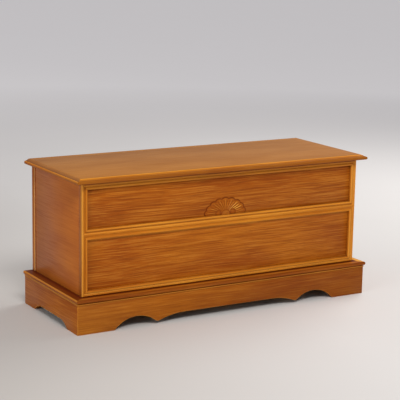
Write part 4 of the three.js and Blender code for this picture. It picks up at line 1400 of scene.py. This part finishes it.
class CHEST_OT_screws(bpy.types.Operator):
    """Set the screws of the hinges, the stays and the corner blocks"""

    bl_idname = "chest.screws"
    bl_label = "Screws"

    def execute(self, context):
        shape = context.scene.chest_shape
        radius, rise, sunk = shape.screw_head, shape.screw_rise, shape.sunk_head
        dome = [(radius, 0.0)]
        for angle in map(math.radians, DOME_ANGLES):
            height = rise * (DOME_SIDE + (1 - DOME_SIDE) * math.sin(angle))
            dome.append((radius * math.cos(angle), height))
        round_head = screw_master("round_head", dome, rise * ROUND_CROSS_DEPTH)
        flat = [(sunk * share, height) for share, height in SUNK_PROFILE]
        sunk_head = screw_master("sunk_head", flat, SUNK_CROSS_DEPTH)

        flats, rounds = {"case": [], "lid": []}, {"case": [], "lid": []}
        for number in (1, 2, 3):
            for leaf, facing in LEAVES:
                for place in leaf_holes(number, leaf):
                    flats[leaf].append((place - facing * HEAD_SINK, facing))
        for side, inward, near, far in (("left", 1, 0.0, 1.0), ("right", -1, 1.0, 0.0)):
            for share in CASE_SCREWS:
                spot = spot_in(f"stay_case_bracket_{side}", near, share, 0.5)
                rounds["case"].append((spot + RIGHT * (inward * CASE_FOOT), RIGHT * inward))
            for share in LID_SCREWS:
                spot = spot_in(f"stay_lid_bracket_{side}", far, share, 1.0)
                rounds["lid"].append((spot - RIGHT * (inward * LID_FOOT_INSET) - UP * LID_FOOT, DOWN))
        for end, outward, deep in (("front", FORWARD, 1.0), ("back", BACKWARD, 0.0)):
            for side, sideways, inner in (("left", LEFT, 1.0), ("right", RIGHT, 0.0)):
                for share in BLOCK_SCREWS:
                    edge = spot_in(f"corner_block_{end}_{side}", inner, deep, share)
                    for along, facing in ((outward, -sideways), (sideways, -outward)):
                        rounds["case"].append((edge + along * BLOCK_SCREW_INSET, facing))

        for shaped, places, head, finish, slot in (
            ("flat", flats, sunk_head, "brass", "brass"),
            ("round", rounds, round_head, "zinc", "pin_steel"),
        ):
            for body in ("case", "lid"):
                screws(f"screws_{body}_{shaped}", body, places[body], head, finish)
            bpy.data.objects.remove(head)
        return {"FINISHED"}


# Stage

# Each soft light: its power in the settings, its two sizes, its place and what it looks at
LIGHTS = {
    "key_light": ("key_power", (2.0, 1.5), (-1.2, -3.7, 3.9), (0, 0, 0.3)),
    "fill_light": ("fill_power", (5.0, 2.6), (-6.5, -1.6, 2.0), (0, 0, 0.3)),
    "top_light": ("top_power", (3.0, 2.0), (2.7, 0.7, 2.6), (0.4, 0, 0.4)),
}
# Half the floor's width, and how much of its light its faint clouds keep
FLOOR_REACH, CLOUD_SHARE = 40, 0.96
# Painted shade darkens the floor to the left between these places along X, and a painted glow brightens it
# between these distances
FLOOR_RIGHT, FLOOR_LEFT, GLOW_START, GLOW_FULL = 0.2, -1.3, 1.6, 6.5


def painted_floor(stage):
    """Pale matt paint, faintly clouded, so that the floor looks real but stays quiet. Painted shade
    darkens it to the left, and a painted glow lights the far floor.
    """
    material, tree, shader, place = new_material("Painted studio floor", Roughness=0.75)
    noise = {"Vector": place, "Scale": 1 / stage.floor_cloud, "Detail": 3.0}
    cloud = add(tree, "ShaderNodeTexNoise", noise).outputs[0]
    along = add(tree, "ShaderNodeSeparateXYZ", {"Vector": place}).outputs["X"]
    apart = add(tree, "ShaderNodeVectorMath", {0: place}, operation="LENGTH").outputs["Value"]
    left_shade, glow = [
        add(tree, "ShaderNodeMapRange", {"Value": value, "From Min": low, "From Max": high}).outputs[0]
        for value, low, high in ((along, FLOOR_RIGHT, FLOOR_LEFT), (apart, GLOW_START, GLOW_FULL))
    ]
    base = rgba(stage.floor)
    clouded = [share * CLOUD_SHARE for share in stage.floor]
    for mark, over in ((cloud, clouded), (left_shade, stage.floor_left_shade)):
        colours = {FACTOR: mark, UNDER: base, OVER: rgba(over)}
        base = add(tree, "ShaderNodeMix", colours, **OVERLAY).outputs[RESULT]
    tree.links.new(base, shader.inputs["Base Color"])
    # A painted glow lights the far floor, as lamps would in a wide studio
    far = add(tree, "ShaderNodeMath", {0: glow, 1: stage.far_floor_glow}, operation="MULTIPLY")
    shader.inputs["Emission Color"].default_value = rgba(stage.room)
    tree.links.new(far.outputs[0], shader.inputs["Emission Strength"])
    return material


class CHEST_OT_stage(bpy.types.Operator):
    """Set the pale floor, the soft lights and the camera"""

    bl_idname = "chest.stage"
    bl_label = "Stage"

    def execute(self, context):
        scene = context.scene
        stage = scene.chest_stage
        scene.view_settings.view_transform = "Standard"
        build = bmesh.new()
        bmesh.ops.create_grid(build, x_segments=1, y_segments=1, size=FLOOR_REACH)
        piece_of("studio_floor", mesh_of("studio_floor", build), [painted_floor(stage)])

        world = bpy.data.worlds.new("Studio room")
        world.use_nodes = True
        sky = world.node_tree
        sky.nodes.clear()
        room = {"Color": rgba(stage.room), "Strength": stage.room_light}
        light = add(sky, "ShaderNodeBackground", room)
        add(sky, "ShaderNodeOutputWorld", {"Surface": light.outputs[0]})
        scene.world = world
        for name, (power, size, place, target) in LIGHTS.items():
            light = bpy.data.lights.new(name, "AREA")
            light.shape = "RECTANGLE"
            light.size, light.size_y = size
            light.energy = getattr(stage, power)
            lamp = bpy.data.objects.new(name, light)
            scene.collection.objects.link(lamp)
            turn = (Vector(target) - Vector(place)).to_track_quat("-Z", "Y").to_matrix().to_4x4()
            lamp.matrix_world = Matrix.Translation(place) @ turn
            # The lacquer doesn't mirror the light above, as it would lie on the lid as a bright patch
            lamp.visible_glossy = name != "top_light"

        camera = bpy.data.cameras.new("Photograph")
        camera.sensor_width = 36
        camera.lens = stage.lens
        camera.clip_end = 200
        seen = bpy.data.objects.new("photograph_camera", camera)
        scene.collection.objects.link(seen)
        yaw, pitch, roll = stage.yaw, stage.pitch, stage.roll
        ahead = Vector(
            (math.sin(yaw) * math.cos(pitch), math.cos(yaw) * math.cos(pitch), -math.sin(pitch))
        )
        across = Vector((math.cos(yaw), -math.sin(yaw), 0))
        over = across.cross(ahead)
        right = across * math.cos(roll) + over * math.sin(roll)
        above = over * math.cos(roll) - across * math.sin(roll)
        turn = Matrix((right, above, -ahead)).transposed().to_4x4()
        seen.matrix_world = Matrix.Translation(stage.camera_place) @ turn
        scene.camera = seen
        return {"FINISHED"}


STEPS = (
    CHEST_OT_stage,
    CHEST_OT_plinth,
    CHEST_OT_cap,
    CHEST_OT_front_frame,
    CHEST_OT_front_panels,
    CHEST_OT_beads,
    CHEST_OT_carved_fan,
    CHEST_OT_sides,
    CHEST_OT_back,
    CHEST_OT_lid,
    CHEST_OT_hinges,
    CHEST_OT_stays,
    CHEST_OT_screws,
)


class CHEST_PT_steps(bpy.types.Panel):
    """Lists the steps that make the chest, and its settings"""

    bl_label = "Blanket chest"
    bl_idname = "CHEST_PT_steps"
    bl_space_type = "VIEW_3D"
    bl_region_type = "UI"
    bl_category = "Chest"

    def draw(self, context):
        for step in STEPS:
            self.layout.operator(step.bl_idname)
        for name in GROUPS:
            group = getattr(context.scene, name)
            for setting in group.bl_rna.properties.keys():
                if setting not in ("rna_type", "name"):
                    self.layout.prop(group, setting)


def register():
    for kind in (*GROUPS.values(), *STEPS, CHEST_PT_steps):
        bpy.utils.register_class(kind)
    for name, group in GROUPS.items():
        setattr(bpy.types.Scene, name, PointerProperty(type=group))


def unregister():
    for name in GROUPS:
        delattr(bpy.types.Scene, name)
    for kind in reversed((*GROUPS.values(), *STEPS, CHEST_PT_steps)):
        bpy.utils.unregister_class(kind)


def main():
    register()
    for step in STEPS:
        group, name = step.bl_idname.split(".")
        getattr(getattr(bpy.ops, group), name)()


if __name__ == "__main__":
    main()
